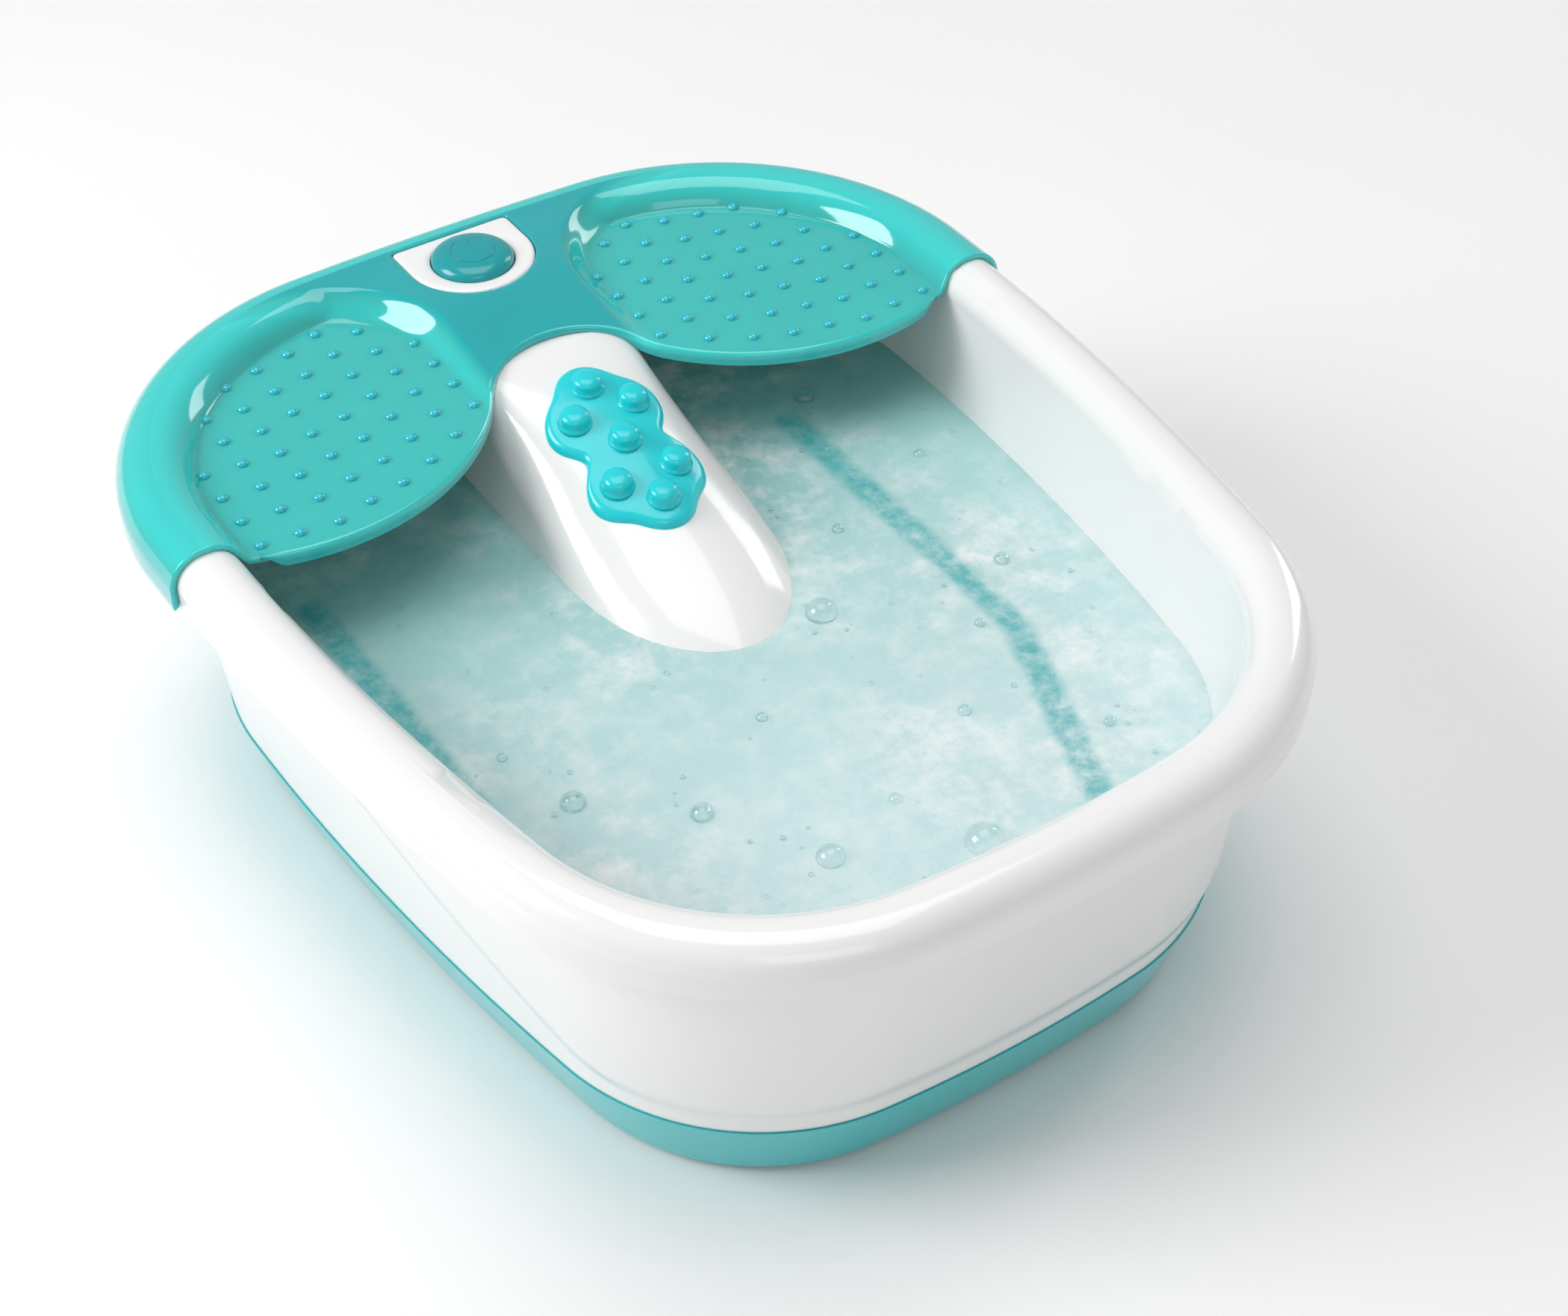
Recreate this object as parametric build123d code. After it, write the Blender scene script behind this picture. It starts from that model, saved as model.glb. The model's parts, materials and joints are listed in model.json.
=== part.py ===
from build123d import *
import math
import os

# Foot spa basin. Millimetres, +Z up, +X to the right, +Y to the back, where the guard and button are.
# The origin is under the middle of the basin, on the surface that its feet stand on.
os.makedirs("parts", exist_ok=True)

# ---- driving dimensions ------------------------------------------------------------------------
# plan shape of the rim: five tangent arcs on each side
RIM_WIDTH = 347.0
RIM_LENGTH = 417.0
REAR_ARC = 1335.0
REAR_CORNER = 116.0
SIDE_ARC = 1160.0
FRONT_CORNER = 113.0
FRONT_ARC = 612.0

# fits, and the guard's wall, which stands out round the back of the rim
FIT = 0.3
RUN = 0.05
GUARD_WALL = 2.2

# the rim's two ends; what stands near an end is placed from it
GUARD_OUT = FIT + GUARD_WALL
REAR_Y = RIM_LENGTH / 2 - GUARD_OUT / 2
FRONT_Y = REAR_Y - RIM_LENGTH
WIDEST_Y = REAR_Y - 114.25

# heights
FOOT_HEIGHT = 2.5
BASE_TOP = 32.0
FLOOR_TOP = 35.0
FLANGE_BOTTOM = 124.0
RIM_TOP = 142.5

# mouldings
WALL = 2.5
RIM_BAND = 24.0
RIM_ROUND = 11.0
FLOOR_INSET = 39.0
FLOOR_ROUND = 12.0
FLOOR_NUB_RADIUS = 2.5
FLOOR_NUB_HEIGHT = 1.6
FLOOR_NUB_X = 59.0
FLOOR_NUB_PITCH_X = 12.5
FLOOR_NUB_PITCH_Y = 16.0
FLOOR_NUB_FRONT_Y = FRONT_Y + 151.75
FLOOR_NUB_BACK_Y = REAR_Y - 105.25
HOUSING_TOP_INSET = 13.0
HOUSING_LOW_INSET = 24.4
LEDGE_STEP = 2.0
LEDGE_FRONT_Z = 46.0
LEDGE_SLOPE = 0.36
LEDGE_BEND_Y = FRONT_Y + 79.75
BASE_TOP_INSET = 23.8
BASE_BOTTOM_INSET = 33.0
BASE_EDGE = 3.0
LAP = 5.0
LAP_WALL = 1.8
VENT_PITCH = 9.0
VENT_WIDTH = 3.0
VENT_HALF = 16.0

# splash guard
PAN_TOP = 135.5
PAN_LIP = 5.5
GUARD_END_Y = REAR_Y - 139.25
GUARD_LIP_Y = REAR_Y - 148.25
GUARD_NECK_Y = REAR_Y - 107.25
ARCH_Y = REAR_Y - 87.25
DECK_HALF = 36.0
DECK_BEND_Y = REAR_Y - 57.25
DECK_SLOPE = 0.16
PAN_CORNER = 45.0
PAN_CORNER_Y = REAR_Y - 67.25
NUB_RADIUS = 2.3
NUB_HEIGHT = 1.5
NUB_PITCH_X = 14.33
NUB_PITCH_Y = 15.6
NUB_FIRST_X = DECK_HALF + 4.3
# each column of nubs on a pan: (number of nubs, how far the last one is from the rim's back edge)
NUB_COLUMNS = [(4, 59.3), (6, 40.3), (7, 33.3), (7, 39.3), (7, 42.3), (7, 46.3), (6, 60.3), (4, 90.3)]

# console that rises from the floor of the tub: where its foot and the tip of its top begin
CONSOLE_TOP = 137.0
CONSOLE_FOOT_Y = FRONT_Y + 137.75
CONSOLE_TIP_Y = REAR_Y - 95.25
CONSOLE_BACK_Y = REAR_Y + 22.75

# panel and button
PANEL_HALF = 25.5
PANEL_BACK_Y = REAR_Y - 13.25
PANEL_FRONT_Y = REAR_Y - 56.25
PANEL_TOP = 145.2
PANEL_EDGE = 0.8
BUTTON_Y = REAR_Y - 33.25
BUTTON_RADIUS = 16.2
BUTTON_TOP = 149.5
BUTTON_TRAVEL = 3.0
BUTTON_RISE = 3.0
CAP_WALL = 2.0
STEM_RADIUS = 3.0
STEM_BOTTOM = 124.5
CLIP_LOW = 132.8
CLIP_THICK = 1.1
CLIP_REACH = 2.2
GROOVE_DEPTH = 0.6
SPRING_WIRE = 0.5
SPRING_CLEAR = 3.5
SPRING_TURNS = 4
SEAL_HEIGHT = 2.0
SEAL_WALL = 1.8

# board and switch
BOARD_Z = 114.4
BOARD_THICK = 1.6
BOARD_HALF = 22.0
BOARD_FRONT_Y = REAR_Y - 69.25
BOARD_BACK_Y = REAR_Y - 29.25
BOARD_HOLE_INSET = 4.0
BOARD_POST = 3.0
BOARD_SCREW_HEAD = 2.6
SWITCH_SIDE = 8.0
SWITCH_HEIGHT = 3.6
PLUNGER = 1.7

# air system
STRIP_X = 103.0
STRIP_BACK_Y = REAR_Y - 100.25
STRIP_BEND_Y = FRONT_Y + 171.75
STRIP_END = (72.0, FRONT_Y + 81.75)
STRIP_ROUND = 260.0
STRIP_WIDTH = 10.0
STRIP_HEIGHT = 4.0
STRIP_HOLE = 0.8
STRIP_HOLES = 16
NIPPLE_Y = REAR_Y - 112.25
NIPPLE_RADIUS = 3.0
NIPPLE_LENGTH = 4.5
TUBE_RADIUS = 3.5
TUBE_BORE = 2.0
TUBE_Z = 18.0
TEE_Y = REAR_Y - 82.25
TEE_HALF = 9.0
TEE_WALL = 1.0
TEE_BRANCH_STEP = 0.3
PUMP_BACK_Y = REAR_Y - 112.25
PUMP_LENGTH = 70.0
PUMP_HALF = 28.0
PUMP_WALL = 9.0
PUMP_ROUND = 8.0
PUMP_BOTTOM = 11.0
PUMP_SPLIT = 38.0
PUMP_TOP = 56.0
PUMP_SPOUT = 6.0
GROMMET_RADIUS = 5.0

# vibration motor and heater
MOTOR_Y = FRONT_Y + 124.75
MOTOR_Z = 19.0
MOTOR_RADIUS = 11.5
MOTOR_HALF = 20.0
MOTOR_NOSE = 4.0
SHAFT_RADIUS = 1.5
WEIGHT_RADIUS = 9.5
WEIGHT_WIDTH = 8.0
WEIGHT_GAP = 3.0
CLAMP_HALF = 14.0
CLAMP_WALL = 5.0
HEATER_SIZE = (96.0, 32.0, 3.0)
HEATER_Y = FRONT_Y + 75.75
THERMOSTAT_RADIUS = 8.0
THERMOSTAT_HEIGHT = 6.0

# massage pad
PAD_THICK = 3.2
PAD_FROM_TIP = (33.0, 65.0)
PAD_LOBES = ((25.5, 21.0), (22.5, 19.0))
PAD_NUB_RADIUS = 5.8
PAD_NUB_HEIGHT = 8.6
PAD_NUB_SPREAD = 12.3

# feet, screws, leads and cord inlet
FOOT_RADIUS = 10.0
FOOT_STEM = 3.0
FOOT_X = 98.0
FOOT_YS = (FRONT_Y + 94.75, REAR_Y - 89.25)
SCREW_RADIUS = 1.5
SCREW_HEAD = 3.4
SCREW_HEAD_HEIGHT = 2.4
SCREW_SEAT = FOOT_HEIGHT + 6.0
BOSS_RADIUS = 5.5
POST_RADIUS = 4.5
POST_BOTTOM = 26.0
BASE_SCREWS = (
    (112.0, REAR_Y - 137.25),
    (103.0, FRONT_Y + 151.75),
    (60.0, FRONT_Y + 71.75),
    (66.0, REAR_Y - 64.25),
)
LEAD_RADIUS = 1.5
INLET_X = 60.0
INLET_Z = 19.0
INLET_RADIUS = 6.5
INLET_BORE = 3.3
INLET_FLANGE = 2.5
INLET_INSIDE = 12.0
INLET_OUTSIDE = 9.0

# ---- worked-out sizes --------------------------------------------------------------------------
BASE_FLOOR = FOOT_HEIGHT + WALL
TUB_UNDER = FLOOR_TOP - WALL
RIM_UNDER = RIM_TOP - WALL
# the housing's top edge clears the round inside the rim's roll
HOUSING_TOP = RIM_UNDER - WALL**2 / (2 * (RIM_ROUND - WALL)) - FIT
PANEL_HOLE = BUTTON_RADIUS + FIT
CAP_BOTTOM = CONSOLE_TOP + BUTTON_TRAVEL + 0.5
CAP_FLAT = BUTTON_TOP - BUTTON_RISE
SPRING_RADIUS = STEM_RADIUS + SPRING_CLEAR
PUMP_FRONT_Y = PUMP_BACK_Y - PUMP_LENGTH
HIGH = RIM_TOP + 40.0

# level sections of the console: (height, share of the way from foot to tip, half width, nose length)
CONSOLE_SECTIONS = [
    (TUB_UNDER - 1.0, 0.0, 47.0, 72.0),
    (60.0, 0.082, 45.0, 66.0),
    (85.0, 0.19, 41.8, 62.0),
    (100.0, 0.337, 38.8, 62.0),
    (114.0, 0.554, 36.4, 60.0),
    (125.0, 0.723, 34.6, 50.0),
    (133.0, 0.88, 32.6, 28.0),
    (CONSOLE_TOP, 1.0, 29.5, 15.0),
]


# ---- helpers -----------------------------------------------------------------------------------
def save(shape, node):
    """Writes one sub-part, named after its node."""
    shape.label = node
    export_step(shape, f"parts/{node}.step")


def corner_centre(end_y, end_radius, corner_radius):
    """Centre of the corner arc that is tangent inside an end arc and the side arc."""
    side = Vector(RIM_WIDTH / 2 - SIDE_ARC, WIDEST_Y)
    end = Vector(0, end_y)
    reach_end = end_radius - corner_radius
    reach_side = SIDE_ARC - corner_radius
    line = side - end
    along = (reach_end**2 - reach_side**2 + line.length**2) / (2 * line.length)
    across = math.sqrt(reach_end**2 - along**2)
    unit = line.normalized()
    foot = end + unit * along
    normal = Vector(-unit.Y, unit.X)
    return max((foot + normal * across, foot - normal * across), key=lambda point: point.X)


def arc_about(centre, radius, start, end):
    """Arc about a centre from one direction to another, by its middle."""
    first = (start - centre).normalized()
    last = (end - centre).normalized()
    middle = (first + last).normalized()
    return ThreePointArc(centre + first * radius, centre + middle * radius, centre + last * radius)


def flip(point):
    """The same point on the left-hand side."""
    return Vector(-point.X, point.Y, point.Z)


def outline(inset=0.0, z=0.0):
    """Face inside the rim's plan shape, moved in by inset all round."""
    rear = Vector(0, REAR_Y - REAR_ARC)
    front = Vector(0, FRONT_Y + FRONT_ARC)
    side = Vector(RIM_WIDTH / 2 - SIDE_ARC, WIDEST_Y)
    rear_corner = corner_centre(rear.Y, REAR_ARC, REAR_CORNER)
    front_corner = corner_centre(front.Y, FRONT_ARC, FRONT_CORNER)
    rear_join = rear + (rear_corner - rear).normalized() * REAR_ARC
    side_back = side + (rear_corner - side).normalized() * SIDE_ARC
    side_front = side + (front_corner - side).normalized() * SIDE_ARC
    front_join = front + (front_corner - front).normalized() * FRONT_ARC
    half = [
        (rear_corner, REAR_CORNER, rear_join, side_back),
        (side, SIDE_ARC, side_back, side_front),
        (front_corner, FRONT_CORNER, side_front, front_join),
    ]
    edges = [arc_about(rear, REAR_ARC - inset, flip(rear_join), rear_join)]
    for centre, radius, start, end in half:
        edges.append(arc_about(centre, radius - inset, start, end))
    edges.append(arc_about(front, FRONT_ARC - inset, front_join, flip(front_join)))
    for centre, radius, start, end in reversed(half):
        edges.append(arc_about(flip(centre), radius - inset, flip(end), flip(start)))
    return Pos(0, 0, z) * Face(Wire(edges))


def stack(*stations):
    """Solid through rim outlines, each given as (height, inset)."""
    return loft([outline(inset, z) for z, inset in stations], ruled=True)


def prism(face, low, high):
    """Upright solid on a plan face."""
    return extrude(Pos(0, 0, low) * face, high - low, dir=(0, 0, 1))


def slab(inset, low, high):
    """Upright solid on the rim's outline."""
    return prism(outline(inset), low, high)


def block(low, high):
    """Box between two corners."""
    size = [b - a for a, b in zip(low, high)]
    return Pos(*low) * Box(*size, align=(Align.MIN, Align.MIN, Align.MIN))


def rod(x, y, low, high, radius):
    """Upright cylinder."""
    return Pos(x, y, low) * Cylinder(radius, high - low, align=(Align.CENTER, Align.CENTER, Align.MIN))


def rod_x(y, z, low, high, radius):
    """Cylinder along X."""
    length = high - low
    return Pos((low + high) / 2, y, z) * Rot(0, 90, 0) * Cylinder(radius, length)


def rod_y(x, z, low, high, radius):
    """Cylinder along Y."""
    return Pos(x, (low + high) / 2, z) * Rot(90, 0, 0) * Cylinder(radius, high - low)


def dome(x, y, z, radius, height):
    """Low round cap that stands on a flat face."""
    ball = (radius**2 + height**2) / (2 * height)
    cap = Pos(x, y, z + height - ball) * Sphere(ball)
    return cap & block((x - radius, y - radius, z - 0.2), (x + radius, y + radius, z + height + 0.1))


def tube(points, radii, radius, bore=0.0):
    """Round tube along straight runs joined by tangent arcs."""
    path = FilletPolyline(*points, radius=radii) if radii else Line(*points)
    start = Plane(origin=path @ 0, z_dir=path % 0)
    section = start * Circle(radius)
    if bore:
        section -= start * Circle(bore)
    return sweep(section, path=path)


# ---- console -----------------------------------------------------------------------------------
def console(grow=0.0):
    """Hump lofted through its level sections."""
    faces = []
    for z, share, half, length in CONSOLE_SECTIONS:
        nose = CONSOLE_FOOT_Y + share * (CONSOLE_TIP_Y - CONSOLE_FOOT_Y)
        faces.append(console_face(z + grow, nose - grow, half + grow, nose + length))
    return loft(faces)


def console_face(z, nose, half, centre_y):
    """One level section: a half ellipse in front of two straight sides."""
    bow = EllipticalCenterArc((0, centre_y), half, centre_y - nose, start_angle=180, arc_size=180)
    back = Polyline(bow @ 1, (half, CONSOLE_BACK_Y), (-half, CONSOLE_BACK_Y), bow @ 0)
    return Pos(0, 0, z) * Face(Wire([bow, *back.edges()]))


# ---- tub ---------------------------------------------------------------------------------------
def rim_ring(grow, low):
    """Rolled rim as a solid ring with both top edges rounded."""
    ring = slab(-grow, low, RIM_TOP + grow) - slab(RIM_BAND + grow, low - 1, HIGH)
    return fillet(ring.faces().sort_by(Axis.Z)[-1].edges(), RIM_ROUND + grow)


def cavity():
    """Space inside the tub, with the edge of its floor rounded."""
    space = stack((FLOOR_TOP, FLOOR_INSET), (RIM_TOP - RIM_ROUND, RIM_BAND), (HIGH, RIM_BAND))
    return fillet(space.faces().sort_by(Axis.Z)[0].edges(), FLOOR_ROUND)


def tub_skin():
    """Outside of the tub's wall and floor, filled up to the rim's roll."""
    skin = stack((TUB_UNDER, FLOOR_INSET - WALL), (RIM_TOP - RIM_ROUND, RIM_BAND - WALL))
    return fillet(skin.faces().sort_by(Axis.Z)[0].edges(), FLOOR_ROUND + WALL)


def floor_nubs():
    """Massage domes on the floor, in two fields beside the console."""
    rows = math.floor((FLOOR_NUB_BACK_Y - FLOOR_NUB_FRONT_Y) / FLOOR_NUB_PITCH_Y + 0.01) + 1
    nubs = []
    for column in range(3):
        for row in range(rows):
            x = FLOOR_NUB_X + FLOOR_NUB_PITCH_X * column
            y = FLOOR_NUB_FRONT_Y + FLOOR_NUB_PITCH_Y * (row + (column % 2) / 2)
            for side in (-1, 1):
                nubs.append(dome(side * x, y, FLOOR_TOP, FLOOR_NUB_RADIUS, FLOOR_NUB_HEIGHT))
    return nubs


def make_tub():
    space = cavity()
    skin = tub_skin()
    rim = rim_ring(0.0, FLANGE_BOTTOM) - rim_ring(-WALL, FLANGE_BOTTOM - 1)
    hump = console() & (skin + slab(RIM_BAND - WALL, RIM_TOP - RIM_ROUND - 1, CONSOLE_TOP + 1))
    inner = console(-WALL)
    shell = rim + skin - space + hump
    shell -= inner & space
    shell -= inner & slab(FLOOR_INSET, TUB_UNDER - 5, FLOOR_TOP + 2)
    for x, y in base_screw_places():
        shell += rod(x, y, POST_BOTTOM, TUB_UNDER + 0.5, POST_RADIUS)
        shell -= rod(x, y, POST_BOTTOM - 1, TUB_UNDER, SCREW_RADIUS + RUN)
    for x, y in board_posts():
        shell += rod(x, y, BOARD_Z + BOARD_THICK, CONSOLE_TOP - WALL + 0.3, BOARD_POST)
    shell += button_well_wall()
    shell -= rod(0, BUTTON_Y, CONSOLE_TOP, HIGH, PANEL_HOLE)
    shell -= rod(0, BUTTON_Y, CONSOLE_TOP - 2 * WALL, CONSOLE_TOP + 1, STEM_RADIUS + FIT)
    for side in (-1, 1):
        shell -= rod(side * STRIP_X, NIPPLE_Y, TUB_UNDER - 1, FLOOR_TOP + 1, NIPPLE_RADIUS + RUN)
    shell += floor_nubs()
    return shell


def button_well_wall():
    """Thickening under the rim's roll, round the back of the well that the button moves in."""
    boss = rod(0, BUTTON_Y, CONSOLE_TOP - WALL, RIM_UNDER, PANEL_HOLE + WALL)
    roll = slab(RIM_ROUND, FLANGE_BOTTOM, HIGH)
    return boss & (roll - slab(RIM_BAND - WALL, FLANGE_BOTTOM - 1, HIGH + 1))


def base_screw_places():
    return [(side * x, y) for x, y in BASE_SCREWS for side in (-1, 1)]


def board_posts():
    ys = (BOARD_FRONT_Y + BOARD_HOLE_INSET, BOARD_BACK_Y - BOARD_HOLE_INSET)
    return [(side * (BOARD_HALF - BOARD_HOLE_INSET), y) for y in ys for side in (-1, 1)]


# ---- outer housing and base --------------------------------------------------------------------
def ledge_region():
    """Everything above the ledge line, which is level at the front and climbs towards the back."""
    reach = RIM_WIDTH
    corners = [
        (-reach, LEDGE_FRONT_Z),
        (LEDGE_BEND_Y, LEDGE_FRONT_Z),
        (reach, LEDGE_FRONT_Z + LEDGE_SLOPE * (reach - LEDGE_BEND_Y)),
        (reach, 2 * reach),
        (-reach, 2 * reach),
    ]
    face = Plane.YZ * make_face(Polyline(*corners, close=True))
    return extrude(face, reach, both=True)


def housing_block(inset):
    """Filled housing, its upper wall a step proud of its lower wall."""
    lower = stack(
        (BASE_TOP, HOUSING_LOW_INSET + inset),
        (FLANGE_BOTTOM, HOUSING_TOP_INSET + LEDGE_STEP + inset),
    )
    upper = stack(
        (BASE_TOP, HOUSING_LOW_INSET - LEDGE_STEP + inset),
        (FLANGE_BOTTOM, HOUSING_TOP_INSET + inset),
        (HOUSING_TOP, HOUSING_TOP_INSET + inset),
    )
    return lower + (upper & ledge_region())


def make_housing():
    inner = stack(
        (BASE_TOP - 1, HOUSING_LOW_INSET + WALL),
        (FLANGE_BOTTOM, HOUSING_TOP_INSET + LEDGE_STEP + WALL),
        (HOUSING_TOP + 1, HOUSING_TOP_INSET + WALL),
    )
    return housing_block(0.0) - inner


def vent_slots():
    """Slots in the base's floor, under the pump."""
    slots = []
    for number in range(5):
        front = PUMP_FRONT_Y + 12 + VENT_PITCH * number
        slots.append(block((-VENT_HALF, front, 0), (VENT_HALF, front + VENT_WIDTH, BASE_FLOOR + 5)))
    return slots


def base_lap():
    """Ring that stands up inside the housing's lower edge."""
    outer = HOUSING_LOW_INSET + WALL + FIT
    low = BASE_TOP - LAP
    high = BASE_TOP + LAP
    root = slab(outer - 1.6, low, BASE_TOP) - slab(outer + LAP_WALL, low - 1, BASE_TOP + 1)
    spigot = slab(outer, BASE_TOP - 1, high) - slab(outer + LAP_WALL, BASE_TOP - 2, high + 1)
    return root + spigot


def make_base():
    bowl = stack((FOOT_HEIGHT, BASE_BOTTOM_INSET), (BASE_TOP, BASE_TOP_INSET))
    bowl = fillet(bowl.faces().sort_by(Axis.Z)[0].edges(), BASE_EDGE)
    bowl -= stack((BASE_FLOOR, BASE_BOTTOM_INSET + WALL), (BASE_TOP + 1, BASE_TOP_INSET + WALL))
    bowl += base_lap()
    for x, y in base_screw_places():
        bowl += rod(x, y, BASE_FLOOR - 0.5, POST_BOTTOM, BOSS_RADIUS)
        bowl -= rod(x, y, 0, POST_BOTTOM + 1, SCREW_RADIUS + FIT)
        bowl -= rod(x, y, 0, SCREW_SEAT, SCREW_HEAD + FIT)
    bowl += rod(0, TEE_Y, BASE_FLOOR - 0.5, TUBE_Z - TUBE_RADIUS - TEE_WALL, TUBE_RADIUS + 1.5)
    bowl -= [rod(x, y, 0, BASE_FLOOR + 1, FOOT_STEM + RUN) for x, y in foot_places()]
    bowl -= vent_slots()
    bowl -= rod_y(INLET_X, INLET_Z, REAR_Y - 87, REAR_Y, INLET_RADIUS + RUN)
    return bowl


def foot_places():
    return [(side * FOOT_X, y) for y in FOOT_YS for side in (-1, 1)]


def make_foot(x, y):
    """Rubber foot, pushed up through the base's floor and held by its barb."""
    align = (Align.CENTER, Align.CENTER, Align.MIN)
    sole = rod(x, y, 0, FOOT_HEIGHT, FOOT_RADIUS)
    sole = fillet(sole.edges().sort_by(Axis.Z)[0], 0.8)
    barb = Pos(x, y, BASE_FLOOR) * Cone(FOOT_STEM + 1.0, FOOT_STEM - 0.6, 3.0, align=align)
    return sole + rod(x, y, FOOT_HEIGHT, BASE_FLOOR, FOOT_STEM) + barb


def make_base_screws():
    slot_half = 0.4
    screws = []
    for x, y in base_screw_places():
        low = SCREW_SEAT - SCREW_HEAD_HEIGHT
        head = rod(x, y, low, SCREW_SEAT, SCREW_HEAD)
        head -= block((x - 2.4, y - slot_half, low - 1), (x + 2.4, y + slot_half, low + 1))
        screws.append(head + rod(x, y, SCREW_SEAT, TUB_UNDER - 1, SCREW_RADIUS))
    return Compound(children=screws)


# ---- splash guard ------------------------------------------------------------------------------
def guard_region(shift=0.0):
    """Plan of the guard: two scalloped pans with an arch over the console between them."""
    back = RIM_LENGTH
    out = RIM_WIDTH
    pan_end = RIM_WIDTH / 2 - RIM_BAND + 2
    pan_mid = (pan_end + DECK_HALF) / 2 + 4
    neck = DECK_HALF - 3
    edges = [
        Line((-out, GUARD_END_Y - 2), (-pan_end, GUARD_END_Y)),
        ThreePointArc((-pan_end, GUARD_END_Y), (-pan_mid, GUARD_LIP_Y), (-neck, GUARD_NECK_Y)),
        ThreePointArc((-neck, GUARD_NECK_Y), (0, ARCH_Y), (neck, GUARD_NECK_Y)),
        ThreePointArc((neck, GUARD_NECK_Y), (pan_mid, GUARD_LIP_Y), (pan_end, GUARD_END_Y)),
        Line((pan_end, GUARD_END_Y), (out, GUARD_END_Y - 2)),
        *Polyline((out, GUARD_END_Y - 2), (out, back), (-out, back), (-out, GUARD_END_Y - 2)).edges(),
    ]
    return Pos(0, shift, 0) * Face(Wire(edges))


def pan_region(grow=0.0):
    """Plan of both pans, one each side of the deck."""
    centre = DECK_HALF + PAN_CORNER
    radius = PAN_CORNER + grow
    far = RIM_WIDTH
    side = DECK_HALF - grow
    low = GUARD_LIP_Y - 20
    corners = [(centre, PAN_CORNER_Y + radius), (centre, far), (far, far), (far, low), (side, low)]
    edges = [
        Line((side, low), (side, PAN_CORNER_Y)),
        JernArc((side, PAN_CORNER_Y), (0, 1), radius, -90),
        *Polyline(*corners).edges(),
    ]
    right = Face(Wire(edges))
    return right + mirror(right, Plane.YZ)


def deck_under(top):
    """Space below the deck's surface, which is level at the back and falls towards the arch."""
    far = RIM_LENGTH
    fall = top - DECK_SLOPE * (DECK_BEND_Y + far)
    corners = [(-far, -far), (-far, fall), (DECK_BEND_Y, top), (far, top), (far, -far)]
    face = Plane.YZ * make_face(Polyline(*corners, close=True))
    return extrude(face, far, both=True)


def guard_deck():
    """Raised middle of the guard, hollow below."""
    low = PAN_TOP - GUARD_WALL
    inner = RIM_BAND + GUARD_OUT
    outside = slab(inner - 0.2, low, HIGH) - prism(pan_region(), low - 1, HIGH + 1)
    inside = slab(inner + GUARD_WALL, low - 1, HIGH) - prism(pan_region(GUARD_WALL), low - 2, HIGH + 1)
    top = RIM_TOP + GUARD_OUT
    return (outside & deck_under(top)) - (inside & deck_under(top - GUARD_WALL))


def guard_pans():
    """Pan floors and their turned-down front lips."""
    low = PAN_TOP - GUARD_WALL
    inner = RIM_BAND + GUARD_OUT
    pans = prism(pan_region(0.2), low - 20, HIGH)
    plate = slab(inner - 0.2, low, PAN_TOP) & pans
    lip = prism(guard_region(), PAN_TOP - PAN_LIP, PAN_TOP)
    lip -= prism(guard_region(GUARD_WALL), low - 20, HIGH)
    lip &= slab(inner - 0.2, low - 20, HIGH)
    return plate + (lip & pans)


def pan_nubs():
    """Low domes on both pans, in columns of equal pitch."""
    nubs = []
    for column, (count, from_back) in enumerate(NUB_COLUMNS):
        x = NUB_FIRST_X + NUB_PITCH_X * column
        for row in range(count):
            y = REAR_Y - from_back - NUB_PITCH_Y * row
            for side in (-1, 1):
                nubs.append(dome(side * x, y, PAN_TOP, NUB_RADIUS, NUB_HEIGHT))
    return nubs


def make_guard():
    roll = rim_ring(GUARD_OUT, FLANGE_BOTTOM) - rim_ring(FIT, FLANGE_BOTTOM - 1)
    roll -= slab(RIM_BAND - 4, FLANGE_BOTTOM - 1, PAN_TOP - GUARD_WALL)
    guard = roll + guard_pans() + guard_deck()
    guard &= prism(guard_region(), FLANGE_BOTTOM - 1, HIGH)
    guard -= console(FIT) & slab(RIM_BAND / 2, 0, HIGH)
    guard -= prism(panel_face(FIT), FLANGE_BOTTOM, HIGH)
    return guard + pan_nubs()


# ---- control panel and button ------------------------------------------------------------------
def panel_face(grow=0.0):
    """Shield: straight at the back, round at the front."""
    half = PANEL_HALF + grow
    back = PANEL_BACK_Y + grow
    shoulder = PANEL_FRONT_Y + PANEL_HALF
    edges = [
        Line((half, shoulder), (half, back)),
        Line((half, back), (-half, back)),
        Line((-half, back), (-half, shoulder)),
        ThreePointArc((-half, shoulder), (0, PANEL_FRONT_Y - grow), (half, shoulder)),
    ]
    return Face(Wire(edges))


def make_panel():
    panel = prism(panel_face(), CONSOLE_TOP, PANEL_TOP)
    panel = fillet(panel.faces().sort_by(Axis.Z)[-1].edges(), PANEL_EDGE)
    over_rim = slab(0, CONSOLE_TOP - 1, RIM_TOP) - slab(RIM_BAND + FIT, CONSOLE_TOP - 2, HIGH)
    panel -= over_rim
    return panel - rod(0, BUTTON_Y, CONSOLE_TOP - 1, PANEL_TOP + 1, PANEL_HOLE)


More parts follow.
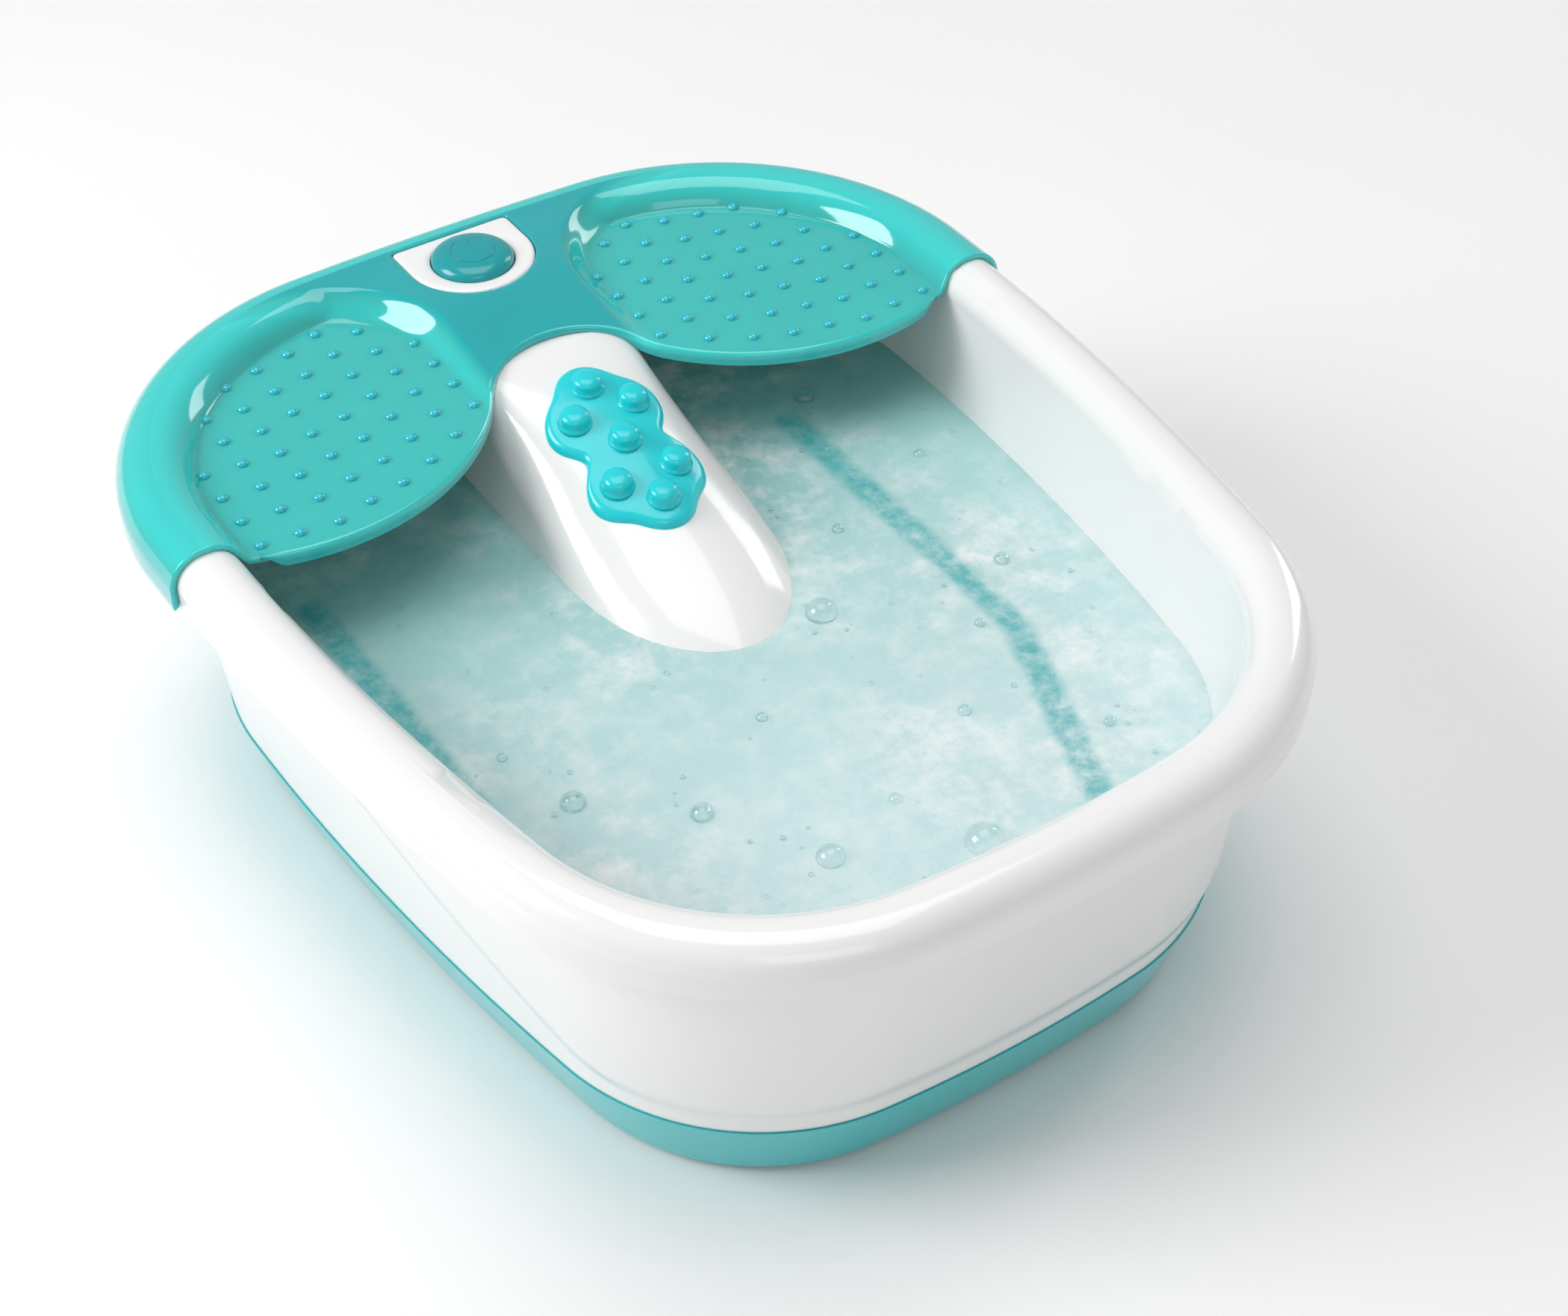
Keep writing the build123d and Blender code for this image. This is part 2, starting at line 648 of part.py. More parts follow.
def make_button():
    cap = rod(0, BUTTON_Y, CAP_BOTTOM, CAP_FLAT, BUTTON_RADIUS)
    top = dome(0, BUTTON_Y, CAP_FLAT, BUTTON_RADIUS, BUTTON_RISE)
    cap += top & rod(0, BUTTON_Y, CAP_BOTTOM, BUTTON_TOP + 1, BUTTON_RADIUS)
    cap -= rod(0, BUTTON_Y, CAP_BOTTOM - 1, CAP_FLAT - CAP_WALL, BUTTON_RADIUS - CAP_WALL)
    stem = rod(0, BUTTON_Y, STEM_BOTTOM, CAP_FLAT, STEM_RADIUS)
    low = CLIP_LOW - 0.1
    high = CLIP_LOW + CLIP_THICK + 0.1
    groove = rod(0, BUTTON_Y, low, high, STEM_RADIUS + 1)
    stem -= groove - rod(0, BUTTON_Y, low - 1, high + 1, STEM_RADIUS - GROOVE_DEPTH)
    return cap + stem


def make_stem_clip():
    """Open ring in the stem's groove, which keeps the button in its well."""
    high = CLIP_LOW + CLIP_THICK
    ring = rod(0, BUTTON_Y, CLIP_LOW, high, STEM_RADIUS + CLIP_REACH)
    ring -= rod(0, BUTTON_Y, CLIP_LOW - 1, high + 1, STEM_RADIUS - GROOVE_DEPTH)
    return ring - block((-1.5, BUTTON_Y - 10, CLIP_LOW - 1), (1.5, BUTTON_Y, high + 1))


def make_button_spring():
    low = CONSOLE_TOP + SPRING_WIRE
    high = CAP_FLAT - CAP_WALL - SPRING_WIRE
    path = Pos(0, BUTTON_Y, low) * Helix(
        pitch=(high - low) / SPRING_TURNS, height=high - low, radius=SPRING_RADIUS
    )
    section = Plane(origin=path @ 0, z_dir=path % 0) * Circle(SPRING_WIRE)
    return sweep(section, path=path, is_frenet=True)


def make_stem_seal():
    ring = rod(0, BUTTON_Y, CONSOLE_TOP, CONSOLE_TOP + SEAL_HEIGHT, STEM_RADIUS + SEAL_WALL)
    return ring - rod(0, BUTTON_Y, CONSOLE_TOP - 1, CONSOLE_TOP + SEAL_HEIGHT + 1, STEM_RADIUS + RUN)


def make_switch():
    half = SWITCH_SIDE / 2
    low = BOARD_Z + BOARD_THICK
    high = low + SWITCH_HEIGHT
    body = block((-half, BUTTON_Y - half, low), (half, BUTTON_Y + half, high))
    return body + rod(0, BUTTON_Y, high, STEM_BOTTOM - BUTTON_TRAVEL - FIT, PLUNGER)


def make_board():
    top = BOARD_Z + BOARD_THICK
    board = block((-BOARD_HALF, BOARD_FRONT_Y, BOARD_Z), (BOARD_HALF, BOARD_BACK_Y, top))
    return board - [rod(x, y, BOARD_Z - 1, top + 1, SCREW_RADIUS + RUN) for x, y in board_posts()]


def make_board_screws():
    screws = []
    for x, y in board_posts():
        head = rod(x, y, BOARD_Z - 1.6, BOARD_Z, BOARD_SCREW_HEAD)
        screws.append(head + rod(x, y, BOARD_Z, BOARD_Z + BOARD_THICK, SCREW_RADIUS))
    return Compound(children=screws)


def make_board_chips():
    """Transformer, relay and capacitor, standing under the board."""
    front = BOARD_FRONT_Y + 12
    transformer = block((-9, front, BOARD_Z - 14), (9, front + 16, BOARD_Z))
    relay = block((12, front, BOARD_Z - 10), (19, front + 14, BOARD_Z))
    capacitor = rod(-15, front + 8, BOARD_Z - 12, BOARD_Z, 4.0)
    return Compound(children=[transformer, relay, capacitor])


# ---- massage pad -------------------------------------------------------------------------------
def pad_centres():
    """Y of the upper and of the lower lobe."""
    return [CONSOLE_TIP_Y - distance for distance in PAD_FROM_TIP]


def pad_face():
    """Two round lobes with a waist, the upper one a little wider."""
    upper, lower = [Pos(0, y) * Ellipse(*lobe) for y, lobe in zip(pad_centres(), PAD_LOBES)]
    joined = upper + lower
    return fillet(joined.vertices(), 3.0)


def pad_nub_places():
    """Three nubs along the middle and a pair in each lobe."""
    upper, lower = pad_centres()
    middle = [(0, upper + 9), (0, (upper + lower) / 2 - 1.5), (0, lower - 12)]
    pairs = [(side * PAD_NUB_SPREAD, y) for y in (upper - 3, lower - 0.5) for side in (-1, 1)]
    return middle + pairs


def make_pad():
    plan = prism(pad_face(), BOARD_Z - 34, HIGH)
    hump = console()
    sheet = (Pos(0, 0, PAD_THICK) * hump & plan) - (Pos(0, 0, FIT / 3) * hump)
    body = max(sheet.solids(), key=lambda solid: solid.volume)
    for x, y in pad_nub_places():
        column = rod(x, y, BOARD_Z - 34, HIGH, PAD_NUB_RADIUS) & Pos(0, 0, PAD_NUB_HEIGHT) * hump
        body += column - Pos(0, 0, PAD_THICK / 2) * hump
    return body


# ---- air system --------------------------------------------------------------------------------
def strip_path(side):
    """Line of a bubble strip on the floor: straight beside the console, then round to the front."""
    start = (side * STRIP_X, STRIP_BACK_Y)
    bend = (side * STRIP_X, STRIP_BEND_Y)
    return FilletPolyline(start, bend, (side * STRIP_END[0], STRIP_END[1]), radius=STRIP_ROUND)


def make_strip(side):
    """Low bar of air holes with a nipple through the floor."""
    path = Pos(0, 0, FLOOR_TOP) * strip_path(side)
    start = Plane(origin=path @ 0, x_dir=(1, 0, 0), z_dir=path % 0)
    bar = sweep(start * Rectangle(STRIP_WIDTH, 2 * STRIP_HEIGHT), path=path)
    ends = [Pos(path @ t) * Cylinder(STRIP_WIDTH / 2, 2 * STRIP_HEIGHT) for t in (0, 1)]
    above = block((-RIM_WIDTH, -RIM_LENGTH, FLOOR_TOP), (RIM_WIDTH, RIM_LENGTH, FLOOR_TOP + 20))
    bar = (bar + ends) & above
    nipple = rod(side * STRIP_X, NIPPLE_Y, tube_ends(), FLOOR_TOP + 1, NIPPLE_RADIUS)
    holes = []
    for number in range(STRIP_HOLES):
        spot = path @ (0.03 + 0.94 * number / (STRIP_HOLES - 1))
        holes.append(rod(spot.X, spot.Y, FLOOR_TOP + STRIP_HEIGHT / 2, FLOOR_TOP + 10, STRIP_HOLE))
    return bar + nipple - holes


def tube_ends():
    """Height of the nipples' lower ends, where the side tubes meet them."""
    return TUB_UNDER - NIPPLE_LENGTH


def make_side_tube(side):
    x = side * STRIP_X
    points = [
        (side * TEE_HALF, TEE_Y, TUBE_Z),
        (side * (STRIP_X - 22), TEE_Y, TUBE_Z),
        (x, TEE_Y - 9, TUBE_Z),
        (x, NIPPLE_Y, TUBE_Z),
        (x, NIPPLE_Y, tube_ends()),
    ]
    return tube(points, [16, 14, 9], TUBE_RADIUS, TUBE_BORE)


def make_tee():
    """Tee that splits the pump's air between the two strips, its branch a little slimmer."""
    run = TUBE_RADIUS + TEE_WALL
    body = rod_x(TEE_Y, TUBE_Z, -TEE_HALF, TEE_HALF, run)
    body += rod_y(0, TUBE_Z, TEE_Y - TEE_HALF, TEE_Y, run - TEE_BRANCH_STEP)
    body -= rod_x(TEE_Y, TUBE_Z, -TEE_HALF - 1, TEE_HALF + 1, TUBE_BORE)
    return body - rod_y(0, TUBE_Z, TEE_Y - TEE_HALF - 1, TEE_Y, TUBE_BORE - TEE_BRANCH_STEP)


def make_main_tube():
    ends = [(0, PUMP_BACK_Y + PUMP_SPOUT, TUBE_Z), (0, TEE_Y - TEE_HALF, TUBE_Z)]
    return tube(ends, None, TUBE_RADIUS, TUBE_BORE)


def pump_hollow(low, high):
    """Space inside the pump's two halves."""
    front = PUMP_FRONT_Y + PUMP_WALL
    back = PUMP_BACK_Y - PUMP_WALL
    side = PUMP_HALF - PUMP_WALL
    return block((-side, front, low), (side, back, high))


def make_pump_case():
    case = block((-PUMP_HALF, PUMP_FRONT_Y, PUMP_BOTTOM), (PUMP_HALF, PUMP_BACK_Y, PUMP_SPLIT))
    case = fillet(case.edges().filter_by(Axis.Z), PUMP_ROUND)
    case -= pump_hollow(PUMP_BOTTOM + WALL, PUMP_SPLIT + 1)
    case += rod_y(0, TUBE_Z, PUMP_BACK_Y - 1, PUMP_BACK_Y + PUMP_SPOUT, TUBE_RADIUS)
    return case - rod_y(0, TUBE_Z, PUMP_BACK_Y - 12, PUMP_BACK_Y + PUMP_SPOUT + 1, TUBE_BORE)


def make_pump_lid():
    lid = block((-PUMP_HALF, PUMP_FRONT_Y, PUMP_SPLIT), (PUMP_HALF, PUMP_BACK_Y, PUMP_TOP))
    lid = fillet(lid.edges().filter_by(Axis.Z), PUMP_ROUND)
    lid = fillet(lid.faces().sort_by(Axis.Z)[-1].edges(), 3)
    return lid - pump_hollow(PUMP_SPLIT - 1, PUMP_TOP - 3)


def make_pump_coil():
    """Coil and core inside the pump."""
    middle = (PUMP_FRONT_Y + PUMP_BACK_Y) / 2
    low = PUMP_BOTTOM + WALL
    core = block((-8, middle - 16, low), (8, middle + 16, low + 17.5))
    coil = rod_y(0, PUMP_BOTTOM + 12, middle - 13, middle + 13, 12)
    return core + coil & block((-14, middle - 30, low), (14, middle + 30, PUMP_TOP - 6))


def make_grommets():
    ys = (PUMP_FRONT_Y + PUMP_WALL, PUMP_BACK_Y - PUMP_WALL)
    spots = [(side * (PUMP_HALF - PUMP_WALL), y) for y in ys for side in (-1, 1)]
    return Compound(children=[rod(x, y, BASE_FLOOR, PUMP_BOTTOM, GROMMET_RADIUS) for x, y in spots])


# ---- vibration motor and heater ----------------------------------------------------------------
def make_motor_can():
    can = rod_x(MOTOR_Y, MOTOR_Z, -MOTOR_HALF, MOTOR_HALF, MOTOR_RADIUS)
    can += rod_x(MOTOR_Y, MOTOR_Z, MOTOR_HALF, MOTOR_HALF + 2, MOTOR_NOSE)
    return can - rod_x(MOTOR_Y, MOTOR_Z, MOTOR_HALF - 14, MOTOR_HALF + 3, SHAFT_RADIUS + RUN)


def make_motor_shaft():
    end = MOTOR_HALF + WEIGHT_GAP + WEIGHT_WIDTH
    return rod_x(MOTOR_Y, MOTOR_Z, MOTOR_HALF - 13.5, end, SHAFT_RADIUS)


def make_weight():
    """Half disc on the shaft, which shakes the basin as it spins."""
    low = MOTOR_HALF + WEIGHT_GAP
    high = low + WEIGHT_WIDTH
    disc = rod_x(MOTOR_Y, MOTOR_Z, low, high, WEIGHT_RADIUS)
    upper = block((low - 1, MOTOR_Y - 20, MOTOR_Z + 1.0), (high + 1, MOTOR_Y + 20, MOTOR_Z + 20))
    hub = rod_x(MOTOR_Y, MOTOR_Z, low, high, MOTOR_NOSE)
    return disc - upper + hub - rod_x(MOTOR_Y, MOTOR_Z, low - 1, high + 1, SHAFT_RADIUS)


def make_motor_clamp():
    reach = MOTOR_RADIUS + CLAMP_WALL
    low = MOTOR_Z - MOTOR_RADIUS - 2
    body = block((-CLAMP_HALF, MOTOR_Y - reach, low), (CLAMP_HALF, MOTOR_Y + reach, TUB_UNDER))
    return body - rod_x(MOTOR_Y, MOTOR_Z, -CLAMP_HALF - 1, CLAMP_HALF + 1, MOTOR_RADIUS + RUN)


def make_heater():
    length, width, thick = HEATER_SIZE
    low = TUB_UNDER - thick
    return block((-length / 2, HEATER_Y - width / 2, low), (length / 2, HEATER_Y + width / 2, TUB_UNDER))


def thermostat_low():
    return TUB_UNDER - HEATER_SIZE[2] - THERMOSTAT_HEIGHT


def make_thermostat():
    low = thermostat_low()
    return rod(0, HEATER_Y, low, low + THERMOSTAT_HEIGHT, THERMOSTAT_RADIUS)


# ---- leads and cord inlet ----------------------------------------------------------------------
def make_pump_lead():
    y = PUMP_BACK_Y - 18
    points = [(6, BOARD_FRONT_Y + 6, BOARD_Z), (6, BOARD_FRONT_Y + 4, 94), (6, y, 82), (6, y, PUMP_TOP)]
    return tube(points, [8, 10], LEAD_RADIUS)


def make_motor_lead():
    points = [
        (-6, BOARD_FRONT_Y + 6, BOARD_Z),
        (-6, BOARD_FRONT_Y + 2, 60),
        (-37, BOARD_FRONT_Y - 32, 11),
        (-37, MOTOR_Y + 26, 10),
        (-28, MOTOR_Y, MOTOR_Z),
        (-MOTOR_HALF, MOTOR_Y, MOTOR_Z),
    ]
    return tube(points, [16, 16, 10, 4], LEAD_RADIUS)


def make_heater_lead():
    low = thermostat_low()
    points = [
        (0, HEATER_Y, low),
        (0, HEATER_Y, low - 8),
        (8, MOTOR_Y - 30, 10),
        (42, MOTOR_Y - 10, 10),
        (38, MOTOR_Y + 95, 10),
        (38, BOARD_FRONT_Y - 32, 11),
        (12, BOARD_FRONT_Y + 3, 60),
        (12, BOARD_FRONT_Y + 6, BOARD_Z),
    ]
    return tube(points, [3, 4, 14, 20, 16, 16], LEAD_RADIUS)


def inlet_back():
    """Where the sloping back wall of the base stands at the inlet's height, on its inner side."""
    share = (INLET_Z - FOOT_HEIGHT) / (BASE_TOP - FOOT_HEIGHT)
    inset = BASE_BOTTOM_INSET + (BASE_TOP_INSET - BASE_BOTTOM_INSET) * share
    return REAR_Y - inset


def make_inlet():
    """Sleeve through the back wall of the base, with a flange inside."""
    back = inlet_back()
    body = rod_y(INLET_X, INLET_Z, back - INLET_INSIDE, back + INLET_OUTSIDE, INLET_RADIUS)
    body += rod_y(INLET_X, INLET_Z, back - INLET_INSIDE, back - 8, INLET_RADIUS + INLET_FLANGE)
    return body - rod_y(INLET_X, INLET_Z, back - INLET_INSIDE - 1, back + INLET_OUTSIDE + 1, INLET_BORE)


# ---- build -------------------------------------------------------------------------------------
def build_all():
    save(make_tub(), "tub")
    save(make_housing(), "outer_housing")
    save(make_base(), "base_tray")
    save(make_guard(), "splash_guard")
    save(make_panel(), "control_panel")
    save(make_button(), "power_button")
    save(make_stem_clip(), "stem_clip")
    save(make_button_spring(), "button_spring")
    save(make_stem_seal(), "stem_seal")
    save(make_switch(), "power_switch")
    save(make_board(), "circuit_board")
    save(make_board_chips(), "board_components")
    save(make_board_screws(), "board_screws")
    save(make_pad(), "massage_pad")
    save(make_tee(), "air_tee")
    save(make_main_tube(), "air_tube_main")
    save(make_pump_case(), "pump_case")
    save(make_pump_lid(), "pump_lid")
    save(make_pump_coil(), "pump_coil")
    save(make_grommets(), "pump_grommets")
    save(make_motor_can(), "motor_can")
    save(make_motor_shaft(), "motor_shaft")
    save(make_weight(), "eccentric_weight")
    save(make_motor_clamp(), "motor_clamp")
    save(make_heater(), "heater_plate")
    save(make_thermostat(), "thermostat")
    save(make_pump_lead(), "pump_lead")
    save(make_motor_lead(), "motor_lead")
    save(make_heater_lead(), "heater_lead")
    save(make_inlet(), "cord_inlet")
    save(make_base_screws(), "base_screws")
    for name, side in (("left", -1), ("right", 1)):
        save(make_strip(side), f"bubble_strip_{name}")
        save(make_side_tube(side), f"air_tube_{name}")
    for number, (x, y) in enumerate(foot_places(), start=1):
        save(make_foot(x, y), f"rubber_foot_{number}")


build_all()
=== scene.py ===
import json
import math
import random

import bmesh
import bpy
import numpy as np
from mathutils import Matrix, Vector
from mathutils.bvhtree import BVHTree


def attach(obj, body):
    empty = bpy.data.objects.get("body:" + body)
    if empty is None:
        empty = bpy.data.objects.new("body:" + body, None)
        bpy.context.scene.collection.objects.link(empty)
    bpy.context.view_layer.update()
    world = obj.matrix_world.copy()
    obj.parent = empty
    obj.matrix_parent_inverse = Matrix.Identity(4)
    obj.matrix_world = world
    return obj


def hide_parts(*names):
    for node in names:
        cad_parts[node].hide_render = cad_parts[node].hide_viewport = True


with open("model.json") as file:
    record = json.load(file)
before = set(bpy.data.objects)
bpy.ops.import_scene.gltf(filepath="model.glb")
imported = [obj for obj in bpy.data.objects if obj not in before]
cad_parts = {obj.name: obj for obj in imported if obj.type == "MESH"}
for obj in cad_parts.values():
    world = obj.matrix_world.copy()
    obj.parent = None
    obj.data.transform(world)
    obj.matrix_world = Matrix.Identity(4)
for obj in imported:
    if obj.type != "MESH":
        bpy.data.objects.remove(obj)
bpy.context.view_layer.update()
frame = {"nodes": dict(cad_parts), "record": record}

# ---- sizes: the basin's are in millimetres, as its design is, and meshes are scaled to metres ----
MM = 0.001
RIM_WIDTH = 347.0
RIM_LENGTH = 417.0
REAR_Y = 207.25
FRONT_Y = REAR_Y - RIM_LENGTH
REAR_ARC = 1335.0
REAR_CORNER = 116.0
SIDE_ARC = 1160.0
FRONT_CORNER = 113.0
FRONT_ARC = 612.0
WIDEST_Y = REAR_Y - 114.25
RIM_TOP = 142.5
WALL = 2.5

GUARD_OUT = 2.5
GUARD_WALL = 2.2
GUARD_BOTTOM = 124.0
GUARD_TOP = RIM_TOP + GUARD_OUT
ROLL_RADIUS = 13.5
ROLL_CENTRE = 11.0
ROLL_FLAT = 2.0
ROLL_INNER = 30.0
ROLL_STEP = 0.75
GUARD_COLUMNS = 330
PAN_ROWS = 92
PAN_TOP = 135.5
PAN_WALL = (-9.0, 3.5)
PAN_LIP = 5.5
LIP_ROUND = 1.6
LIP_FADE = 9.0
DECK_HALF = 36.0
PAN_CORNER = 45.0
PAN_CORNER_Y = 140.0
DECK_BEND_Y = 150.0
DECK_SLOPE = 0.16
PAN_END_X = RIM_WIDTH / 2 - 22.0
PAN_END_Y = 68.0
LIP_X = (PAN_END_X + DECK_HALF) / 2 + 4.0
LIP_Y = 59.0
NECK = (DECK_HALF - 3.0, 100.0)
ARCH_Y = 120.0
# A surface this high under the guard's lip is the console, which the lip stays clear of.
CONSOLE_LEVEL = 100.0
CONSOLE_FIT = 0.5
NUB_RADIUS = 2.3
NUB_HEIGHT = 1.5
NUB_PITCH = (14.33, 15.6)
NUB_FIRST_X = DECK_HALF + 4.3
NUB_COLUMNS = [(4, 148.0), (6, 167.0), (7, 174.0), (7, 168.0), (7, 165.0), (7, 161.0), (6, 147.0), (4, 117.0)]

PANEL_HALF = 25.5
PANEL_BACK_Y = 194.0
PANEL_FRONT_Y = 151.0
PANEL_FIT = 0.3
PANEL_TOP = 145.0
PANEL_LOW = 138.0
PANEL_POINTS = 240
WELL_RADIUS = 16.5
BUTTON_Y = 174.0
BUTTON_RADIUS = 16.2
BUTTON_LOW = 140.5
# Crown of the cap: the sign's beads on it stay under the CAD button's top.
BUTTON_TOP = 149.2
CAP_DEPTH = 4.5
CAP_WALL = 2.0
STEM_LOW = 124.5
STEM_RADIUS = 3.0
SIGN_RADIUS = 8.6
SIGN_GAP = 26
SIGN_BEAD = 0.32

HOUSING_LOW_Z = 32.0
HOUSING_TOP_Z = 139.3
FLANGE_Z = 124.0
HOUSING_LOW_INSET = 24.4
HOUSING_TOP_INSET = 13.0
LEDGE_STEP = 2.0
LEDGE_Z = 43.0
LEDGE_TALL = 11.0
LEDGE_SLOPE = 0.36
LEDGE_BEND_Y = -130.0

PAD_THICK = 3.1
PAD_CENTRE_Y = 64.0
PAD_NUBS = [(0, 88.0), (0, 61.5), (0, 35.0), (-12.3, 76.0), (12.3, 76.0), (-12.3, 46.5), (12.3, 46.5)]
PAD_LOBE = 10.8
PAD_JOIN = 4.5
PAD_NUB_RADIUS = 5.7
PAD_NUB_RISE = 5.3
PAD_NUB_DOME = 2.6
PAD_EDGE = 0.5
PAD_EDGE_ROUND = 2.6

WATER_Z = 93.0
WATER_INSET = 29.5
STRIP_X = 103.0
STRIP_BACK_Y = 107.0
STRIP_BEND_Y = -38.0
STRIP_END = (72.0, -128.0)
STRIP_TOP = 39.0
STRIP_HALF = 5.0

CAMERA_TARGET = Vector((0.0612, 0.0479, 0.0))
CAMERA_AZIMUTH = -33.74
CAMERA_ELEVATION = 41.78
CAMERA_DISTANCE = 1.0724
CAMERA_LENS = 60.82


# ---- plan shape of the rim ---------------------------------------------------------------------
def corner_centre(end_y, end_radius, corner_radius):
    """Centre of the corner arc that is tangent inside an end arc and the side arc."""
    side = np.array((RIM_WIDTH / 2 - SIDE_ARC, WIDEST_Y))
    end = np.array((0.0, end_y))
    reach_end = end_radius - corner_radius
    reach_side = SIDE_ARC - corner_radius
    line = side - end
    length = np.linalg.norm(line)
    along = (reach_end**2 - reach_side**2 + length**2) / (2 * length)
    across = math.sqrt(reach_end**2 - along**2)
    unit = line / length
    normal = np.array((-unit[1], unit[0]))
    foot = end + unit * along
    return max((foot + normal * across, foot - normal * across), key=lambda point: point[0])


def heading(vector):
    """Direction of a plan vector in radians."""
    return math.atan2(vector[1], vector[0])


def rim_arcs():
    """The outline's arcs, clockwise from the middle of the back: (centre, radius, from, to) in radians."""
    rear = np.array((0.0, REAR_Y - REAR_ARC))
    front = np.array((0.0, FRONT_Y + FRONT_ARC))
    side = np.array((RIM_WIDTH / 2 - SIDE_ARC, WIDEST_Y))
    rear_corner = corner_centre(rear[1], REAR_ARC, REAR_CORNER)
    front_corner = corner_centre(front[1], FRONT_ARC, FRONT_CORNER)
    first = heading(rear_corner - rear)
    second = heading(rear_corner - side)
    third = heading(front_corner - side)
    last = heading(front_corner - front)
    half = [
        (rear, REAR_ARC, math.pi / 2, first),
        (rear_corner, REAR_CORNER, first, second),
        (side, SIDE_ARC, second, third),
        (front_corner, FRONT_CORNER, third, last),
        (front, FRONT_ARC, last, -math.pi / 2),
    ]
    other = []
    for centre, radius, start, end in reversed(half):
        mirrored = np.array((-centre[0], centre[1]))
        other.append((mirrored, radius, math.pi - end, math.pi - start))
    return half + other


RIM_ARCS = rim_arcs()


def outline(inset, step=1.5):
    """Points round the rim, moved in by inset, clockwise from the middle of the back."""
    points = []
    for centre, radius, start, end in RIM_ARCS:
        count = max(3, int(abs(end - start) * radius / step))
        for angle in np.linspace(start, end, count, endpoint=False):
            reach = radius - inset
            points.append((centre[0] + reach * math.cos(angle), centre[1] + reach * math.sin(angle)))
    return np.array(points)


def resample(points, count):
    """Evenly spaced points along an open line."""
    points = np.asarray(points, dtype=float)
    steps = np.linalg.norm(np.diff(points, axis=0), axis=1)
    along = np.concatenate([[0.0], np.cumsum(steps)])
    wanted = np.linspace(0.0, along[-1], count)
    return np.stack([np.interp(wanted, along, points[:, k]) for k in range(points.shape[1])], axis=1)


def smoothstep(value, low, high):
    """0 below low and 1 above high, with a smooth rise between them."""
    share = np.clip((value - low) / (high - low), 0.0, 1.0)
    return share * share * (3.0 - 2.0 * share)


def smooth_max(first, second, blend):
    """The higher of two heights, with a rounded join."""
    overlap = np.maximum(blend - np.abs(first - second), 0.0) / blend
    return np.maximum(first, second) + overlap**2 * blend / 4.0


# ---- mesh helpers ------------------------------------------------------------------------------
def add_piece(name, verts, faces, material, body, slot, smooth=True):
    """A mesh piece from points in millimetres, riding on a body."""
    mesh = bpy.data.meshes.new(name)
    mesh.from_pydata([tuple(float(value) * MM for value in vert) for vert in verts], [], faces)
    mesh.update()
    if smooth:
        mesh.polygons.foreach_set("use_smooth", [True] * len(mesh.polygons))
    piece = bpy.data.objects.new(name, mesh)
    bpy.context.scene.collection.objects.link(piece)
    mesh.materials.append(material)
    if body:
        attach(piece, body)
    return piece


def grid_faces(rows, columns, wrap=False):
    """Quads between rows of points; wrap closes each row on itself."""
    faces = []
    last = columns if wrap else columns - 1
    for row in range(rows - 1):
        for column in range(last):
            after = (column + 1) % columns
            low = row * columns
            faces.append((low + column, low + after, low + columns + after, low + columns + column))
    return faces


def turn_up(piece):
    """Makes the piece's normals agree and point away from its inside."""
    work = bmesh.new()
    work.from_mesh(piece.data)
    bmesh.ops.recalc_face_normals(work, faces=work.faces)
    work.to_mesh(piece.data)
    work.free()


def lathe(profile, count=96):
    """A closed turned shape about Z, from (radius, height) pairs with both ends on the axis."""
    verts = [(0.0, 0.0, profile[0][1])]
    inner = profile[1:-1]
    for radius, height in inner:
        for step in range(count):
            angle = 2 * math.pi * step / count
            verts.append((radius * math.cos(angle), radius * math.sin(angle), height))
    verts.append((0.0, 0.0, profile[-1][1]))
    top = len(verts) - 1
    faces = []
    for step in range(count):
        after = (step + 1) % count
        faces.append((0, 1 + after, 1 + step))
        last = 1 + (len(inner) - 1) * count
        faces.append((top, last + step, last + after))
    for row in range(len(inner) - 1):
        for step in range(count):
            after = (step + 1) % count
            low = 1 + row * count
            faces.append((low + step, low + after, low + count + after, low + count + step))
    return verts, faces


def joined(shapes):
    """One list of points and faces from several."""
    verts = []
    faces = []
    for points, polygons in shapes:
        start = len(verts)
        verts += list(points)
        faces += [tuple(index + start for index in polygon) for polygon in polygons]
    return verts, faces


def moved(shape, place):
    """The same shape at another place."""
    points, faces = shape
    return [(x + place[0], y + place[1], z + place[2]) for x, y, z in points], faces


def surface_tree(node):
    """A CAD node's surface, for finding heights on it."""
    mesh = frame["nodes"][node].data
    mesh.calc_loop_triangles()
    verts = [vertex.co.copy() for vertex in mesh.vertices]
    return BVHTree.FromPolygons(verts, [tuple(tri.vertices) for tri in mesh.loop_triangles])


def drop_height(tree, x, y, start=0.3):
    """Height in millimetres of the first surface under a point."""
    hit = tree.ray_cast(Vector((x * MM, y * MM, start)), Vector((0, 0, -1)))
    return hit[0].z / MM if hit[0] is not None else None


# ---- node material helpers ---------------------------------------------------------------------
def new_material(name):
    """A material with only its output and one Principled shader."""
    material = bpy.data.materials.new(name)
    material.use_nodes = True
    tree = material.node_tree
    shader = tree.nodes["Principled BSDF"]
    return material, tree, shader


def object_noise(tree, scale, detail=3.0, rough=0.5):
    """Noise that is fixed to the object."""
    where = tree.nodes.new("ShaderNodeTexCoord")
    noise = tree.nodes.new("ShaderNodeTexNoise")
    noise.inputs["Scale"].default_value = scale
    noise.inputs["Detail"].default_value = detail
    noise.inputs["Roughness"].default_value = rough
    tree.links.new(where.outputs["Object"], noise.inputs["Vector"])
    return noise


